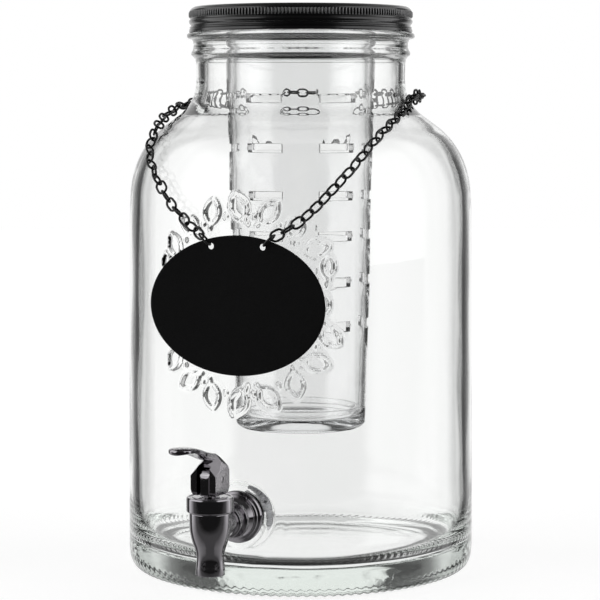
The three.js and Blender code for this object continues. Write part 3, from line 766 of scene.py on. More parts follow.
piece(jar_glass(), "jar_assembly", "glass_jar", "clear_glass", angle=50)


# ======================================================================= tap
# Heights of upright parts are z. Level parts run back from the upright axis, and their
# lengths are distances from it.
TAP_FACE = BOSS_FACE_Y - SPOUT_Y       # the pad on the jar
FLANGE_BACK = TAP_FACE - 0.9
SEAT_Z = 40.5                          # valve seat
TUBE_HOLE_R = 7.75                     # hole in washers and nut, round the shank's tail

BARREL_CURVE = spline([
    (7.95, 22.6), (7.9, 25.0), (7.6, 28.2), (7.4, 31.0), (7.6, 33.6), (8.5, 36.8), (9.5, 39.6),
    (10.3, 42.4), (10.95, 46.0), (11.2, 50.0), (11.25, 55.6)], 5)
# Neck, ring, groove, second ring, cone and stepped flange: (radius, distance in front of the
# flange's back, corner rounding)
SHANK_STEPS = [
    (7.6, 19.4, 0.3), (8.9, 18.7, 0.45), (8.9, 15.3, 0.45), (7.9, 14.9, 0.3), (7.9, 12.6, 0.3),
    (10.2, 12.1, 0.4), (10.4, 9.5, 0.4), (8.8, 9.1, 0.3), (8.8, 7.3, 0.3), (11.2, 5.0, 0.3),
    (11.3, 3.6, 0.25), (12.6, 3.3, 0.3), (12.8, 2.7, 0.25), (14.2, 2.3, 0.5), (14.75, 1.5, 0.4),
    (14.75, 0.35, 0.3), (14.2, 0.0, 0.0), (7.3, 0.0, 0.0)]
TAIL_PITCH = 1.41


def upright(name, profile, sides):
    return turned(name, profile, sides, at=(0, SPOUT_Y, 0))


def level(name, profile, sides):
    return turned(name, profile, sides, at=(0, SPOUT_Y, TAP_Z), axis="y")


def tap_shank():
    tail = []
    groove = TAP_FACE + 0.6
    while groove + TAIL_PITCH < TAP_FACE + 21.2:
        tail += [(6.95, groove, 0.1), (7.6, groove + TAIL_PITCH * 0.5, 0.12)]
        groove += TAIL_PITCH
    steps = [(radius, FLANGE_BACK - ahead, rounding) for radius, ahead, rounding in SHANK_STEPS]
    end = [(7.0, TAP_FACE + 21.4), (6.6, TAP_FACE + 21.5), (0, TAP_FACE + 21.5)]
    return level("tap_shank", rounded([(0, 4.0), (7.6, 4.0)] + steps + tail + end, seg=3), 80)


def tap_body():
    """Upright barrel joined to the level shank, hollow through both."""
    lip = rounded([(6.0, 22.0), (7.9, 22.0, 0.55), (7.95, 22.6)], seg=4)
    shoulder = rounded([(11.25, 55.6), (11.2, 56.25, 0.4), (10.0, 56.3), (10.0, 61.6, 0.3),
                        (8.0, 61.6)], seg=3)
    profile = np.vstack([[(0, 22.0)], lip, BARREL_CURVE[1:], shoulder[1:], [(0, 61.6)]])
    body = upright("tap_body", profile, 96)
    boolean(body, tap_shank(), "UNION")
    bore = rounded([(0, 20.0), (6.6, 20.0), (6.2, 23.0, 1.0), (4.8, 27.0, 2.0),
                    (4.8, SEAT_Z - 1.2), (6.0, SEAT_Z), (8.4, SEAT_Z + 1.2), (8.4, 64.0),
                    (0, 64.0)])
    boolean(body, upright("tap_bore", bore, 64))
    boolean(body, level("tap_feed", rod(4.4, 0, TAP_FACE + 30), 40))
    return body


piece(tap_body(), "jar_assembly", "spigot_body", "gunmetal_plate", angle=30, weighted=True)

COLLAR = rounded([
    (3.2, 62.4), (10.15, 62.4), (10.15, 56.5), (12.2, 56.5, 0.3), (12.8, 57.1, 0.35),
    (12.8, 63.9, 0.4), (12.35, 64.7, 0.35), (11.3, 64.7, 0.2), (11.1, 64.35, 0.2),
    (9.6, 64.35, 0.2), (9.4, 64.7, 0.2), (3.2, 64.7, 0.2)], closed=True, seg=3)
piece(upright("tap_collar", COLLAR, 96), "jar_assembly", "spigot_collar", "gunmetal_plate",
      angle=40, weighted=True)

STEM_SEAL = rounded([
    (3.1, 58.6, 0.5), (8.3, 58.6, 0.4), (8.3, 59.6, 0.3), (7.7, 60.0, 0.3), (8.3, 60.4, 0.3),
    (8.3, 61.4, 0.4), (3.1, 61.4, 0.5), (3.4, 60.0, 0.3)], closed=True, seg=3)
piece(upright("stem_seal_ring", STEM_SEAL, 64), "jar_assembly", "stem_seal", "black_rubber")

# Name, radius, front, back and outer rounding of each washer
for name, radius, front, back, rounding in (
        ("outer_washer", 14.5, TAP_FACE - 0.78, TAP_FACE - 0.06, 0.3),
        ("inner_washer", 12.6, 50.0, 52.6, 0.6)):
    section = rounded([(TUBE_HOLE_R, front, rounding / 2), (radius, front, rounding),
                       (radius, back, rounding), (TUBE_HOLE_R, back, rounding / 2)],
                      closed=True, seg=3)
    piece(level(name, section, 72), "jar_assembly", "spigot_" + name, "black_rubber")


def lock_nut():
    """Hexagon crossed with a turned, chamfered blank."""
    front, back, corner = 52.7, 59.2, 12.4
    nut = level("lock_nut", rounded([
        (0, front), (10.9, front), (12.35, 53.5, 0.2), (12.35, 58.4, 0.2), (10.9, back),
        (0, back)]), 96)
    hexagon = [(corner * math.cos(rad(30 + 60 * k)), TAP_Z + corner * math.sin(rad(30 + 60 * k)))
               for k in range(6)]
    boolean(nut, prism("hex_tool", hexagon, SPOUT_Y + 50, SPOUT_Y + 62, "front"), "INTERSECT")
    boolean(nut, level("nut_eye", [
        (0, 50), (8.6, 50), (8.6, front), (TUBE_HOLE_R, 53.6), (TUBE_HOLE_R, 58.3),
        (8.6, back), (8.6, 62), (0, 62)], 64))
    bevel(nut, width=0.18, seg=2, angle=28)
    return nut


piece(lock_nut(), "jar_assembly", "spigot_lock_nut", "plain_steel", angle=25)

SEAT_CUP = rounded([
    (0, SEAT_Z - 0.6), (4.4, SEAT_Z - 0.6, 0.6), (7.2, SEAT_Z + 1.5, 0.5),
    (7.2, SEAT_Z + 5.4, 0.4), (3.1, SEAT_Z + 5.4, 0.3), (3.1, SEAT_Z + 2.6),
    (0, SEAT_Z + 2.6)], seg=3)
piece(upright("seat_cup", SEAT_CUP, 64), "valve", "valve_seat_cup", "white_silicone")


# ---- return spring
SPRING_Z0, SPRING_Z1 = SEAT_Z + 6.3, 57.9
SPRING_LENGTH = SPRING_Z1 - SPRING_Z0
SPRING_R, SPRING_TURNS, SPRING_WIRE_R = 4.9, 5.5, 0.45


def sweep(path, radius, sides):
    """Points and faces of a round wire along a path."""
    tangent = np.gradient(path, axis=0)
    tangent /= np.linalg.norm(tangent, axis=1)[:, None]
    side = np.cross(np.array([0, 0, 1.0]), tangent)
    side /= np.linalg.norm(side, axis=1)[:, None]
    other = np.cross(tangent, side)
    angle = np.arange(sides) / sides * 2 * math.pi
    verts = path[:, None, :] + radius * (np.cos(angle)[None, :, None] * side[:, None, :]
                                         + np.sin(angle)[None, :, None] * other[:, None, :])
    last = len(path) - 1
    faces = [(i * sides + j, i * sides + (j + 1) % sides,
              (i + 1) * sides + (j + 1) % sides, (i + 1) * sides + j)
             for i in range(last) for j in range(sides)]
    faces += [tuple(range(sides)), tuple(last * sides + j for j in reversed(range(sides)))]
    return verts.reshape(-1, 3), faces


def spring_coil():
    t = np.linspace(0, 1, 181)
    angle = t * SPRING_TURNS * 2 * math.pi
    rise = np.interp(t, [0, 0.13, 0.87, 1], [0, 0.06, 0.94, 1])      # the end turns lie flatter
    path = np.stack([SPRING_R * np.cos(angle), SPRING_R * np.sin(angle) + SPOUT_Y,
                     SPRING_Z0 + SPRING_LENGTH * rise], 1)
    return solid("return_spring_coil", *sweep(path, SPRING_WIRE_R, sides=10))


spring = spring_coil()
piece(spring, "valve", "return_spring", "plain_steel")
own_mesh(spring)


# ---- stem, pin and lever: drawn round x = y = 0, then moved to the tap's axis and turned a
# little off the front direction.
HANDLE_PLACE = (Matrix.Translation((0, SPOUT_Y * MM, 0)) @ Matrix.Rotation(rad(-8), 4, "Z"))
PIN_Z = 74.5
PIN_HOLE = rod(1.56, -15, 15)
STEM_R = 2.95


def placed(ob):
    ob.data.transform(HANDLE_PLACE)
    return ob


def along_pin(name, profile):
    return turned(name, profile, 40, at=(0, 0, PIN_Z), axis="x")


def pin_arc(radius, start, end, steps):
    """Arc round the pin, in the side view."""
    return [(radius * math.cos(a), PIN_Z + radius * math.sin(a))
            for a in np.radians(np.linspace(start, end, steps + 1))]


def valve_stem():
    """Round shaft with a flat-sided head that the pin goes through."""
    stem = turned("valve_stem_shaft", rounded([
        (0, SEAT_Z + 3.0), (2.9, SEAT_Z + 3.0, 0.3), (STEM_R, SEAT_Z + 6.2), (STEM_R, 67.0),
        (0, 67.0)], seg=3), 48)
    outline = [(-6.1, 65.6), (6.1, 65.6), (6.3, 66.2)] + pin_arc(6.3, 0, 180, 36) + [(-6.3, 66.2)]
    head = prism("head_tool", outline, -3.7, 3.7, "side")
    t = np.linspace(0, 2 * math.pi, 64, endpoint=False)
    plan = np.stack([3.7 * squared_off(np.cos(t), 0.42), 6.5 * squared_off(np.sin(t), 0.75)], 1)
    boolean(head, prism("plan_tool", plan, 60, 90, "plan"), "INTERSECT")
    tidy(head, dist=0.01)
    bevel(head, width=0.4, seg=3, angle=40)
    boolean(stem, head, "UNION")
    boolean(stem, along_pin("pin_eye", PIN_HOLE))
    return placed(stem)


piece(valve_stem(), "stem", "valve_stem", "gunmetal_plate", angle=32, weighted=True)

PIN = rounded([(0, -7.6), (1.5, -7.6, 0.35), (1.5, 7.6, 0.35), (0, 7.6)], seg=3)
piece(placed(along_pin("lever_pin_rod", PIN)), "stem", "lever_pin", "gunmetal_plate")

YOKE_HALF = 7.75                       # half the width of the yoke
YOKE_FRONT = 7.5
YOKE_SIDE = [                          # (forward, z)
    (-6.6, 65.9), (6.2, 65.9), (YOKE_FRONT, 67.6), (YOKE_FRONT, 82.6), (11.4, 87.4),
    (8.0, 89.4), (3.0, 88.9), (0.4, 88.5), (-2.6, 87.7), (-5.2, 85.6), (-6.9, 82.6),
    (-7.5, 79.2), (-7.5, 67.2)]
YOKE_FACE = [                          # (x, z)
    (-5.3, 64), (5.3, 64), (7.0, 66.5), (YOKE_HALF, 69.4), (YOKE_HALF, 79.0), (6.2, 83.6),
    (4.9, 90), (-4.9, 90), (-6.2, 83.6), (-YOKE_HALF, 79.0), (-YOKE_HALF, 69.4), (-7.0, 66.5)]
PADDLE_LINE = [                        # (forward, z) along the middle of the thumb paddle
    (2.0, 86.6), (6.5, 87.6), (10.9, 89.0), (14.5, 90.3), (19.0, 91.8), (24.0, 93.05),
    (30.0, 93.7), (34.0, 93.7), (37.2, 93.4)]
# Half width and half thickness of the paddle at distances forward
PADDLE_HALF_WIDTH = ([2, 8, 10.5, 15, 20, 40], [4.6, 4.6, 4.7, 5.9, 6.3, 6.3])
PADDLE_HALF_THICK = ([2, 6, 9, 12, 16, 22, 30, 37.2],
                     [2.2, 2.4, 2.3, 2.05, 1.85, 1.72, 1.65, 1.55])
PADDLE_END = 6.2                       # length of the rounded tip
PADDLE_SIDES = 36


def facet_tool(at, normal):
    """Block that cuts away everything beyond a slanting plane."""
    turn = Vector((0, 0, 1)).rotation_difference(Vector(normal).normalized())
    corners = [(x, y, z) for z in (0.0, 20.0) for y in (-30.0, 30.0) for x in (-30.0, 30.0)]
    verts = np.array([list(turn @ Vector(corner)) for corner in corners]) + np.array(at)
    faces = [(0, 1, 3, 2), (4, 6, 7, 5), (0, 4, 5, 1), (2, 3, 7, 6), (0, 2, 6, 4), (1, 5, 7, 3)]
    return solid("facet_tool", verts, faces)


def paddle_tool():
    """Curved bar lofted from rounded sections."""
    line = spline(PADDLE_LINE, 5)
    distance = distance_along(line)
    length = distance[-1]
    tip = length - PADDLE_END * (1 - np.sin(np.linspace(0.08, 1, 12) * math.pi / 2))
    stations = np.concatenate([np.linspace(0, length - PADDLE_END, 26), tip])
    stations = np.unique(np.round(stations, 4))
    forward = np.interp(stations, distance, line[:, 0])
    z = np.interp(stations, distance, line[:, 1])
    slope_f, slope_z = np.gradient(forward), np.gradient(z)
    slope = np.hypot(slope_f, slope_z)
    slope_f, slope_z = slope_f / slope, slope_z / slope

    def round_off(sizes, reach, least):
        """Rounds sizes down over the last reach of the paddle."""
        share = 1 - (1 - (length - stations) / reach) ** 2
        return np.where(stations > length - reach, sizes * np.sqrt(np.clip(share, least, 1)),
                        sizes)
    half_width = round_off(np.interp(forward, *PADDLE_HALF_WIDTH), PADDLE_END, least=0.0004)
    half_thick = round_off(np.interp(forward, *PADDLE_HALF_THICK), 1.0, least=0.01)
    angle = np.arange(PADDLE_SIDES) / PADDLE_SIDES * 2 * math.pi
    across = squared_off(np.cos(angle), 0.62)
    up = squared_off(np.sin(angle), 0.45)
    rows = [pole(0, -forward[0], z[0])]
    for i in range(len(stations)):
        height = (half_thick[i] * up * (1 - 0.16 * (across ** 2))           # thinner edges
                  - 0.21 * (across ** 2 - 0.5) * min(1.0, half_width[i] / 6))    # bowed down
        rows.append((np.arange(PADDLE_SIDES), np.stack([
            half_width[i] * across, -(forward[i] - slope_z[i] * height),
            z[i] + slope_f[i] * height], 1)))
    rows.append(pole(0, -(forward[-1] + 0.02), z[-1]))
    return solid("paddle_tool", *weave(rows))


def tap_lever():
    """Faceted yoke, slotted for the stem's head, with a thumb paddle reaching forward."""
    outline = rounded([point + (0.9,) for point in YOKE_SIDE], closed=True, seg=3)
    yoke = prism("tap_lever_body", outline, -YOKE_HALF, YOKE_HALF, "side")
    boolean(yoke, prism("front_tool", YOKE_FACE, -20, 20, "front"), "INTERSECT")
    for side in (-1, 1):
        boolean(yoke, facet_tool(at=(side * YOKE_HALF, -YOKE_FRONT, 76.7),
                                 normal=(side * 38.95, -20.14, 36.1)))
        boolean(yoke, facet_tool(at=(side * YOKE_HALF, 2.0, 82.0),
                                 normal=(side * 36.0, 12.0, 34.0)))
    slot = [(-12, 60), (14, 60), (14, 89.4), (4.6, 81.25)] + pin_arc(6.85, 78, 180, 24)
    slot.append((-12, PIN_Z))
    boolean(yoke, prism("slot_tool", slot, -3.95, 3.95, "side"))
    tidy(yoke, dist=0.02)
    bevel(yoke, width=0.38, seg=3, angle=22)
    boolean(yoke, paddle_tool(), "UNION")
    boolean(yoke, along_pin("pin_bar", PIN_HOLE))
    return placed(yoke)


piece(tap_lever(), "lever", "tap_lever", "gunmetal_plate", angle=24, weighted=True)


# ================================================================== infuser
TUBE_TOP_R, TUBE_BOTTOM_R, TUBE_WALL = 44.5, 38.9, 3.4
TUBE_Z0, TUBE_Z1 = 92.0, 318.0         # tapered part of the tube
CAP_Z0 = 83.4                          # underside of the base cap
TUBE_SIDES = 144
SLOTS_ROUND, SLOT_ARC, SLOT_HEIGHT = 6, 30.0, 5.6
SLOT_PERIOD = TUBE_SIDES // SLOTS_ROUND            # columns from slot to slot
SLOT_COLUMNS = round(TUBE_SIDES * SLOT_ARC / 360)  # columns a slot spans
TUBE_START = rad(-10.5 - SLOT_ARC / 2)             # the first slot is centred at -10.5 degrees
SLOT_ROWS = [145.5, 171.5, 198.5, 222.5, 248.5, 276.0]
TUBE_LEVELS = sorted(
    [TUBE_Z0, 96.0, 104.0, 116.0, 130.0, 160.0, 185.0, 211.0, 236.0, 262.0, 290.0, 304.0, TUBE_Z1]
    + [z + shift for z in SLOT_ROWS for shift in (-SLOT_HEIGHT / 2, 0, SLOT_HEIGHT / 2)])
# Flange that rests on the jar's rim, from the outside of the tube over to its inside
TUBE_FLANGE = rounded([
    (TUBE_TOP_R, TUBE_Z1), (45.2, 322.5, 4.0), (47.6, 326.8, 2.0), (61.6, 326.8, 0.4),
    (61.9, 327.6, 0.3), (61.6, 328.4, 0.4), (46.6, 328.4, 1.6), (43.2, 324.0, 3.0),
    (TUBE_TOP_R - TUBE_WALL, TUBE_Z1)], seg=5)[1:-1]


def is_slot(column, level):
    """Is the cell after this column and above this level open?"""
    if level < 0 or level >= len(TUBE_LEVELS) - 1:
        return False
    middle = (TUBE_LEVELS[level] + TUBE_LEVELS[level + 1]) / 2
    if not any(abs(middle - z) < SLOT_HEIGHT / 2 for z in SLOT_ROWS):
        return False
    return (column % TUBE_SIDES) % SLOT_PERIOD < SLOT_COLUMNS


def infuser_tube():
    sides, levels = TUBE_SIDES, len(TUBE_LEVELS)
    angle = TUBE_START + np.arange(sides) / sides * 2 * math.pi
    outside = [(TUBE_BOTTOM_R + (TUBE_TOP_R - TUBE_BOTTOM_R) * (z - TUBE_Z0)
                / (TUBE_Z1 - TUBE_Z0), z) for z in TUBE_LEVELS]
    inside = [(radius - TUBE_WALL, z) for radius, z in outside]
    rings = outside + inside + list(TUBE_FLANGE)
    verts = np.vstack([around(radius, angle, z) for radius, z in rings])
    # index of the first point of each ring
    bases = [k * sides for k in range(len(rings))]
    outer, inner, flange = bases[:levels], bases[levels:2 * levels], bases[2 * levels:]
    faces = []
    for i in range(levels - 1):
        o0, o1, i0, i1 = outer[i], outer[i + 1], inner[i], inner[i + 1]
        for j in range(sides):
            k = (j + 1) % sides
            if is_slot(j, i):
                if not is_slot(j, i - 1):
                    faces.append((o0 + j, o0 + k, i0 + k, i0 + j))
                if not is_slot(j, i + 1):
                    faces.append((o1 + j, i1 + j, i1 + k, o1 + k))
                if not is_slot(j - 1, i):
                    faces.append((o0 + j, i0 + j, i1 + j, o1 + j))
                if not is_slot(j + 1, i):
                    faces.append((o0 + k, o1 + k, i1 + k, i0 + k))
            else:
                faces.append((o0 + j, o0 + k, o1 + k, o1 + j))
                faces.append((i0 + j, i1 + j, i1 + k, i0 + k))
    over = [outer[-1]] + flange + [inner[-1]]
    for a, b in list(zip(over, over[1:])) + [(inner[0], outer[0])]:
        faces += [(a + j, a + (j + 1) % sides, b + (j + 1) % sides, b + j)
                  for j in range(sides)]
    tube = solid("infuser_tube_body", verts, faces)
    bevel(tube, width=0.35, seg=2, angle=50)
    return tube


piece(infuser_tube(), "infuser", "infuser_tube", "clear_plastic", angle=60)

BASE_CAP = rounded([
    (0, CAP_Z0 + 0.5), (30.0, CAP_Z0 + 0.5, 1.0), (31.5, CAP_Z0, 0.8), (36.6, CAP_Z0, 1.6),
    (38.5, CAP_Z0 + 2.0, 1.6), (38.8, TUBE_Z0 - 0.1, 0.3), (35.2, TUBE_Z0 - 0.1),
    (35.1, TUBE_Z0 + 4.0, 0.4), (32.8, TUBE_Z0 + 4.0, 0.4), (32.6, TUBE_Z0 - 1.6, 1.6),
    (0, TUBE_Z0 - 2.6)])
piece(turned("infuser_base_cap", BASE_CAP, TUBE_SIDES, start=TUBE_START),
      "infuser", "infuser_base", "clear_plastic")


# ====================================================================== lid
LID_FINE = LID_RIBS * 6                # columns on the knurl; one in six elsewhere
KNURL_R = 65.32
LID_UPPER = rounded([
    (0, 331.2), (57.0, 331.2, 0.8), (58.6, 331.5, 0.8), (63.0, 331.5, 1.6), (65.25, 329.7, 1.1),
    (65.3, 329.1)], seg=5)
LID_KNURL = [                          # (z, height of the ribs)
    (329.0, 0.0), (328.75, 0.36), (328.3, 0.66), (327.0, 0.74), (325.7, 0.66), (325.2, 0.36),
    (324.95, 0.0)]
# Skirt below the knurl, its rolled edge, and back up the inside
LID_LOWER = rounded([
    (65.3, 324.7), (65.1, 324.3, 0.2), (65.85, 323.6, 0.5), (65.9, 322.7, 0.6),
    (65.5, 321.7, 0.5), (64.75, 320.8, 0.5), (64.75, 320.2, 0.4), (65.55, 319.55, 0.25),
    (65.5, 319.1, 0.2), (65.15, 318.85, 0.1), (65.75, 318.4, 0.3), (65.85, 317.2, 0.4),
    (65.75, 316.6, 0.25), (65.25, 316.6, 0.2), (65.2, 318.4, 0.4), (64.35, 320.5, 0.8),
    (65.0, 322.6, 0.6), (65.0, 329.6, 0.8), (64.2, 330.75, 0.3), (0, 330.75)])


def lid_row(radius, z, every=6, rib=0.0):
    if radius < 1e-6:
        return pole(0, 0, z)
    columns = np.arange(0, LID_FINE, every)
    angle = columns / LID_FINE * 2 * math.pi
    ribbed = radius + rib * (0.5 + 0.5 * np.cos(LID_RIBS * angle)) ** 0.6
    return columns, around(ribbed, angle, z)


lid_rows = [lid_row(radius, z) for radius, z in LID_UPPER]
lid_rows += [lid_row(KNURL_R, z, every=1, rib=rib) for z, rib in LID_KNURL]
lid_rows += [lid_row(radius, z) for radius, z in LID_LOWER]
piece(solid("lid_shell_body", *weave(lid_rows)), "lid", "lid_shell", "black_lid_paint", angle=55)

LINER = rounded([(50.0, 328.8, 0.4), (62.6, 328.8, 0.5), (63.2, 329.4, 0.4), (63.2, 330.5, 0.3),
                 (50.0, 330.5, 0.3)], closed=True, seg=3)
piece(turned("lid_liner_ring", LINER, 180), "liner", "lid_liner", "liner_foam")


# ===================================================================== sign
SIGN_HALF_W, SIGN_HALF_H = 51.5, 38.85
SIGN_HALF_THICK = 0.6
SIGN_Y = -105.3
SIGN_SIDES = 240
SIGN_HOLE_X, SIGN_HOLE_Z, SIGN_HOLE_R = 15.2, 196.7, 1.85
SIGN_EDGE = [(-SIGN_HALF_THICK, -0.2), (-0.54, -0.06), (-0.4, 0.0), (0.4, 0.0), (0.54, -0.06),
             (SIGN_HALF_THICK, -0.2)]             # (depth, inset)
FACE_INSETS = [-40.0, -26.0, -13.0, -5.0, -1.6]   # rings on each face, inset along x


def oval(depth, half_w, half_h):
    angle = np.arange(SIGN_SIDES) / SIGN_SIDES * 2 * math.pi
    return np.arange(SIGN_SIDES), np.stack([
        half_w * np.cos(angle), np.full(SIGN_SIDES, SIGN_Y + depth),
        SIGN_Z + half_h * np.sin(angle)], 1)


def sign_face(depth):
    """Rows from the middle of one face outward."""
    rows = [pole(0, SIGN_Y + depth, SIGN_Z)]
    for inset in FACE_INSETS:
        scale = (SIGN_HALF_W + inset) / SIGN_HALF_W
        rows.append(oval(depth, SIGN_HALF_W * scale, SIGN_HALF_H * scale))
    return rows


def sign_plate():
    edge = [oval(depth, SIGN_HALF_W + inset, SIGN_HALF_H + inset) for depth, inset in SIGN_EDGE]
    plate = solid("sign_plate", *weave(
        sign_face(-SIGN_HALF_THICK) + edge + sign_face(SIGN_HALF_THICK)[::-1]))
    for side in (-1, 1):
        boolean(plate, turned("sign_eye", rod(SIGN_HOLE_R, -5, 5), 48, axis="y",
                              at=(side * SIGN_HOLE_X, SIGN_Y, SIGN_HOLE_Z)))
    return plate


piece(sign_plate(), "sign", "chalkboard_sign", "chalkboard_paint", angle=25)

# ---- rings and chain
LINK_R = 2.78                          # radius of the rounded ends, to the wire's middle
LINK_STRAIGHT, RING_STRAIGHT = 2.33, 2.95
HANG_X, HANG_Z = 19.97, 201.47         # where rings and chain meet


def link(straight, wire, steps=9, sides=10):
    """Points and faces of an oval link, long in y and flat in z, centred on the origin."""
    stations = []
    for turn, shift in ((0, straight / 2), (math.pi, -straight / 2)):
        for k in range(steps + 1):
            a = turn + math.pi * k / steps
            stations.append((math.cos(a), math.sin(a), shift))
    angle = np.arange(sides) / sides * 2 * math.pi
    verts = [(LINK_R * c + wire * math.cos(w) * c, LINK_R * s + shift + wire * math.cos(w) * s,
              wire * math.sin(w)) for c, s, shift in stations for w in angle]
    count = len(stations)
    faces = [(i * sides + j, i * sides + (j + 1) % sides,
              ((i + 1) % count) * sides + (j + 1) % sides, ((i + 1) % count) * sides + j)
             for i in range(count) for j in range(sides)]
    return np.array(verts), faces


ring_verts, ring_faces = link(RING_STRAIGHT, wire=0.62)
for name, side in (("ring_left", -1), ("ring_right", 1)):
    up = np.array([side * math.sqrt(0.5), 0, math.sqrt(0.5)])
    wide = np.array([0, 1.0, 0])
    verts = (ring_verts @ np.stack([wide, up, np.cross(wide, up)])
             + np.array([side * HANG_X, SIGN_Y, HANG_Z]) - up * RING_STRAIGHT / 2)
    piece(solid(name, verts, ring_faces), "sign", "sign_" + name, "black_chain_wire")

# (x, y, z) from the right ring, round the back of the neck, to the left ring
CHAIN_PATH = spline([
    (HANG_X, SIGN_Y, HANG_Z), (27.0, -102.7, 205.5), (35.0, -99.1, 211.1),
    (43.1, -95.1, 219.0), (50.9, -90.2, 228.4), (57.6, -83.2, 237.6), (62.6, -75.1, 246.2),
    (66.1, -65.7, 253.7), (68.7, -55.0, 259.8), (70.0, -45.6, 263.8), (70.6, -34.6, 267.7),
    (70.2, -20.7, 271.8), (69.9, -13.6, 275.4), (70.4, -6.2, 278.4), (70.6, 2.5, 280.3),
    (68.6, 17.1, 279.8), (60.0, 37.5, 277.6), (39.6, 58.8, 275.4), (9.9, 70.5, 274.4),
    (-24.3, 66.8, 274.5), (-51.0, 49.3, 275.0), (-65.2, 27.7, 275.2), (-70.7, 4.9, 275.0),
    (-71.9, -10.1, 273.2), (-72.3, -23.5, 270.2), (-72.4, -34.5, 266.6), (-69.4, -52.9, 260.3),
    (-68.6, -61.6, 255.2), (-67.8, -66.9, 250.1), (-65.1, -73.4, 245.2), (-58.1, -83.3, 236.4),
    (-51.8, -89.5, 228.8), (-44.3, -94.3, 220.1), (-36.8, -97.9, 213.7),
    (-28.5, -101.7, 207.3), (-HANG_X, SIGN_Y, HANG_Z)], 24)
LINK_SPACING = 6.6                     # aimed at, then fitted to a whole number of links


def chain_links():
    """Links alternate in roll. They run evenly, then hang loosely towards the left ring."""
    rng = np.random.default_rng(11)
    link_verts, link_faces = link(LINK_STRAIGHT, wire=0.67)
    distance = distance_along(CHAIN_PATH)
    length = distance[-1]

    def on_path(s):
        return np.array([np.interp(s, distance, CHAIN_PATH[:, k]) for k in range(3)])
    reach = LINK_R + LINK_STRAIGHT / 2               # half a link
    count = int(round((length - 2 * reach) / LINK_SPACING)) + 1
    spacing = (length - 2 * reach) / (count - 1)
    verts, faces = [], []
    for i in range(count):
        s = reach + i * spacing
        start = on_path(max(0, s - reach * 0.9))
        end = on_path(min(length, s + reach * 0.9))
        centre = on_path(s) * 0.5 + (start + end) * 0.25
        along = (end - start) / np.linalg.norm(end - start)
        # direction out of the glass, turning upward on the shoulder
        radius = math.hypot(centre[0], centre[1])
        rise = 0.78 * min(1, max(0, (centre[2] - 212) / 62))
        level_part = math.sqrt(1 - rise * rise)
        normal = np.array([centre[0] / radius * level_part, centre[1] / radius * level_part,
                           rise])
        normal -= along * (normal @ along)
        normal /= np.linalg.norm(normal)
        across = np.cross(normal, along)
        loose = float(smooth01((i - count * 0.62) / (count * 0.12)))
        left = count - 1 - i                         # links left before the end
        even_roll = (45 if i % 2 else -45) + 45 * max(0.0, 1 - i / 3.0)
        loose_roll = ((90 if left % 2 else 0) + float(rng.uniform(-24, 24)) * min(1.0, left / 2)
                      + 10 * math.sin(i * 0.9))
        roll = rad(even_roll * (1 - loose) + loose_roll * loose)
        wide = across * math.cos(roll) + normal * math.sin(roll)
        stray = loose * min(1.0, left / 3)
        centre = (centre + across * float(rng.uniform(-0.35, 0.35)) * stray
                  + normal * (0.35 + float(rng.uniform(0, 0.4))) * stray)
        faces += [tuple(k + len(verts) for k in face) for face in link_faces]
        verts.extend(link_verts @ np.stack([wide, along, np.cross(wide, along)]) + centre)
    return solid("chain_links", np.array(verts), faces)


piece(chain_links(), "chain", "neck_chain", "black_chain_wire")


# ================================================== floor, surroundings, camera
# Brightness by angle from straight ahead, as (share of a half turn, tone)
SEEN_THROUGH = [
    (0.0, 0.98), (0.078, 0.96), (0.096, 0.80), (0.112, 0.06), (0.172, 0.02), (0.20, 0.12),
    (0.24, 0.62), (0.30, 0.66), (0.35, 0.55), (0.39, 0.60), (0.43, 1.2), (0.70, 1.3),
    (0.745, 0.08), (1.0, 0.04)]
STUDIO = [
    (0.0, 0.96), (0.09, 0.95), (0.15, 0.86), (0.19, 0.52), (0.225, 0.10), (0.32, 0.07),
    (0.365, 1.7), (0.74, 1.6), (0.80, 0.08), (1.0, 0.04)]
# Tone of the table in reflections, by depth: 0 is 0.5 m ahead and 1 is 2.5 m ahead. These are
# painted dark reflections: the table glows nearly black in reflections on the camera's side of the
# jar, though the camera sees it white.
TABLE_TONES = [(0.0, 0.03), (0.255, 0.025), (0.29, 0.15), (0.40, 0.22), (0.52, 0.75), (1.0, 0.88)]
JAR_DEPTH = 1.3097                     # metres ahead at which the jar's axis is counted


def seen_through(graph, direction):
    """Surroundings as bent rays see them: bright ahead, dark bands to the sides, above and
    below. direction is the ray's direction in world axes."""
    x, y, z = graph.in_camera(direction)
    up = graph.calc("MULTIPLY", graph.calc("MAXIMUM", y, 0.0), 0.42)
    down = graph.calc("MULTIPLY", graph.calc("MINIMUM", y, 0.0), 0.22)
    tilt = graph.calc("ADD", up, down)
    squares = graph.calc("ADD", graph.calc("MULTIPLY", x, x), graph.calc("MULTIPLY", tilt, tilt))
    angle = graph.calc("ARCTAN2", graph.calc("SQRT", squares), z)
    return graph.tones(graph.calc("DIVIDE", angle, math.pi), SEEN_THROUGH)


def studio_tone(graph, x, z):
    """Surroundings as reflections see them, by angle to either side of straight ahead."""
    angle = graph.calc("ARCTAN2", graph.calc("ABSOLUTE", x), z)
    return graph.tones(graph.calc("DIVIDE", angle, math.pi), STUDIO)


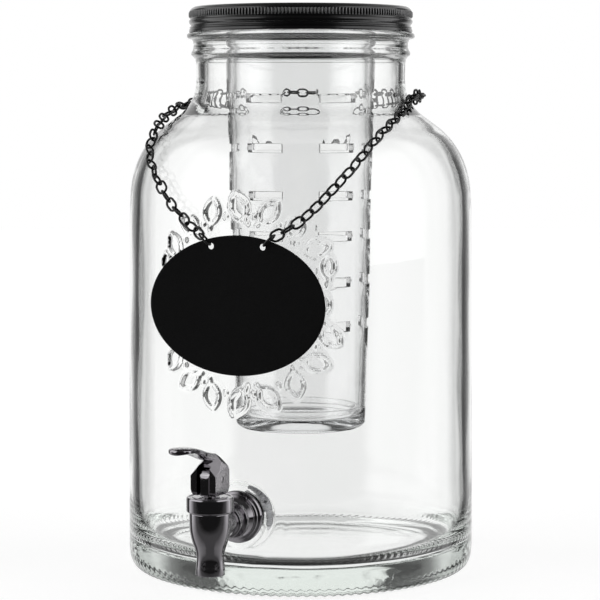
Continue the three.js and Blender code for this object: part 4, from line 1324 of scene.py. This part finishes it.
def floor_material():
    """White to the camera; other rays see it glow with the tones set out above, which include a
    painted shadow under the foot and painted dark reflections.
    """
    material, graph = new_material("floor_material")
    coords = graph.add("TexCoord")
    light_path = graph.add("LightPath")
    # depth is taken from the jar's axis, so it holds for any camera
    ahead = graph.split(coords.outputs["Camera"])[2]
    axis_ahead = graph.in_camera((0.0, 0.0, 0.0), kind="POINT")[2]
    depth = graph.calc("ADD", graph.calc("SUBTRACT", ahead, axis_ahead), JAR_DEPTH)
    depth = graph.remap(depth, start=0.5, end=2.5)

    incoming = graph.add("NewGeometry").outputs["Incoming"]
    away = graph.scaled(incoming, -1.0)
    # painted shadow: the table's glow is darkened for rays bent steeply down, under the foot
    shade = graph.remap(graph.in_camera(incoming)[1], low=1.0, high=0.05, start=0.62, end=0.84)
    transmitted = graph.scaled(seen_through(graph, away), shade)
    away_x, _, away_z = graph.in_camera(away)
    # painted dark reflection: near the camera the table's glow in reflections follows TABLE_TONES
    far = graph.remap(depth, start=0.31, end=0.40)
    reflected = graph.mix(far, graph.tones(depth, TABLE_TONES),
                          studio_tone(graph, away_x, away_z))
    indirect = graph.add("Emission", {"Color": graph.mix(
        light_path.outputs["Is Transmission Ray"], reflected, transmitted)})

    glow = graph.add("Emission", {"Strength": 0.84})
    grain = graph.add("TexNoise", {"Vector": coords.outputs["Object"], "Scale": 6.0})
    grey = graph.tones(grain.outputs["Fac"], [(0.0, 0.29), (1.0, 0.32)])
    diffuse = graph.add("BsdfDiffuse", {"Color": grey})
    direct = graph.add("AddShader", {0: glow.outputs[0], 1: diffuse.outputs[0]})
    shader = graph.add("MixShader", {
        0: light_path.outputs["Is Camera Ray"], 1: indirect.outputs[0], 2: direct.outputs[0]})
    graph.add("OutputMaterial", {"Surface": shader.outputs[0]})
    return material


def build_floor():
    """Disc just under the jar, in metres."""
    radius, sides, z = 3.5, 64, -0.0003
    points = [(radius * math.cos(k / sides * 2 * math.pi),
               radius * math.sin(k / sides * 2 * math.pi), z) for k in range(sides)]
    mesh = bpy.data.meshes.new("floor")
    mesh.from_pydata(points, [], [tuple(range(sides))])
    floor = bpy.data.objects.new("floor", mesh)
    bpy.context.scene.collection.objects.link(floor)
    mesh.materials.append(floor_material())


def build_world():
    """White to the camera; it also lights the scene."""
    world = bpy.data.worlds.new("studio")
    bpy.context.scene.world = world
    world.use_nodes = True
    graph = Graph(world.node_tree)
    coords = graph.add("TexCoord")
    light_path = graph.add("LightPath")

    def direction(space):
        return graph.add("VectorMath", {0: coords.outputs[space]},
                         operation="NORMALIZE").outputs[0]
    x, y, z = graph.split(direction("Camera"))
    overhead = graph.remap(y, start=0.66, end=0.90)
    reflected = graph.mix(overhead, studio_tone(graph, x, z), (0.10, 0.10, 0.10, 1))
    indirect = graph.mix(light_path.outputs["Is Transmission Ray"], reflected,
                         seen_through(graph, direction("Generated")))
    colour = graph.mix(light_path.outputs["Is Camera Ray"], indirect, (1, 1, 1, 1))
    background = graph.add("Background", {"Color": colour})
    graph.add("OutputWorld", {"Surface": background.outputs[0]})


def build_camera():
    """In front of the jar and to its right, in metres."""
    data = bpy.data.cameras.new("camera")
    data.lens = 130.2
    data.sensor_width = 36.0
    data.clip_end = 50.0
    camera = bpy.data.objects.new("camera", data)
    camera.location = (0.4306, -1.2160, 0.2756)
    camera.rotation_euler = (rad(84.8), 0.0, rad(19.5185))
    bpy.context.scene.collection.objects.link(camera)
    bpy.context.scene.camera = camera


build_floor()
build_world()
build_camera()

scene = bpy.context.scene
scene.view_settings.view_transform = "Standard"
scene.view_settings.look = "None"
if hasattr(scene, "cycles"):           # absent when the Cycles add-on is off
    scene.cycles.max_bounces = 32
    scene.cycles.transmission_bounces = 32
    scene.cycles.glossy_bounces = 12
    scene.cycles.diffuse_bounces = 4
    scene.cycles.use_denoising = True
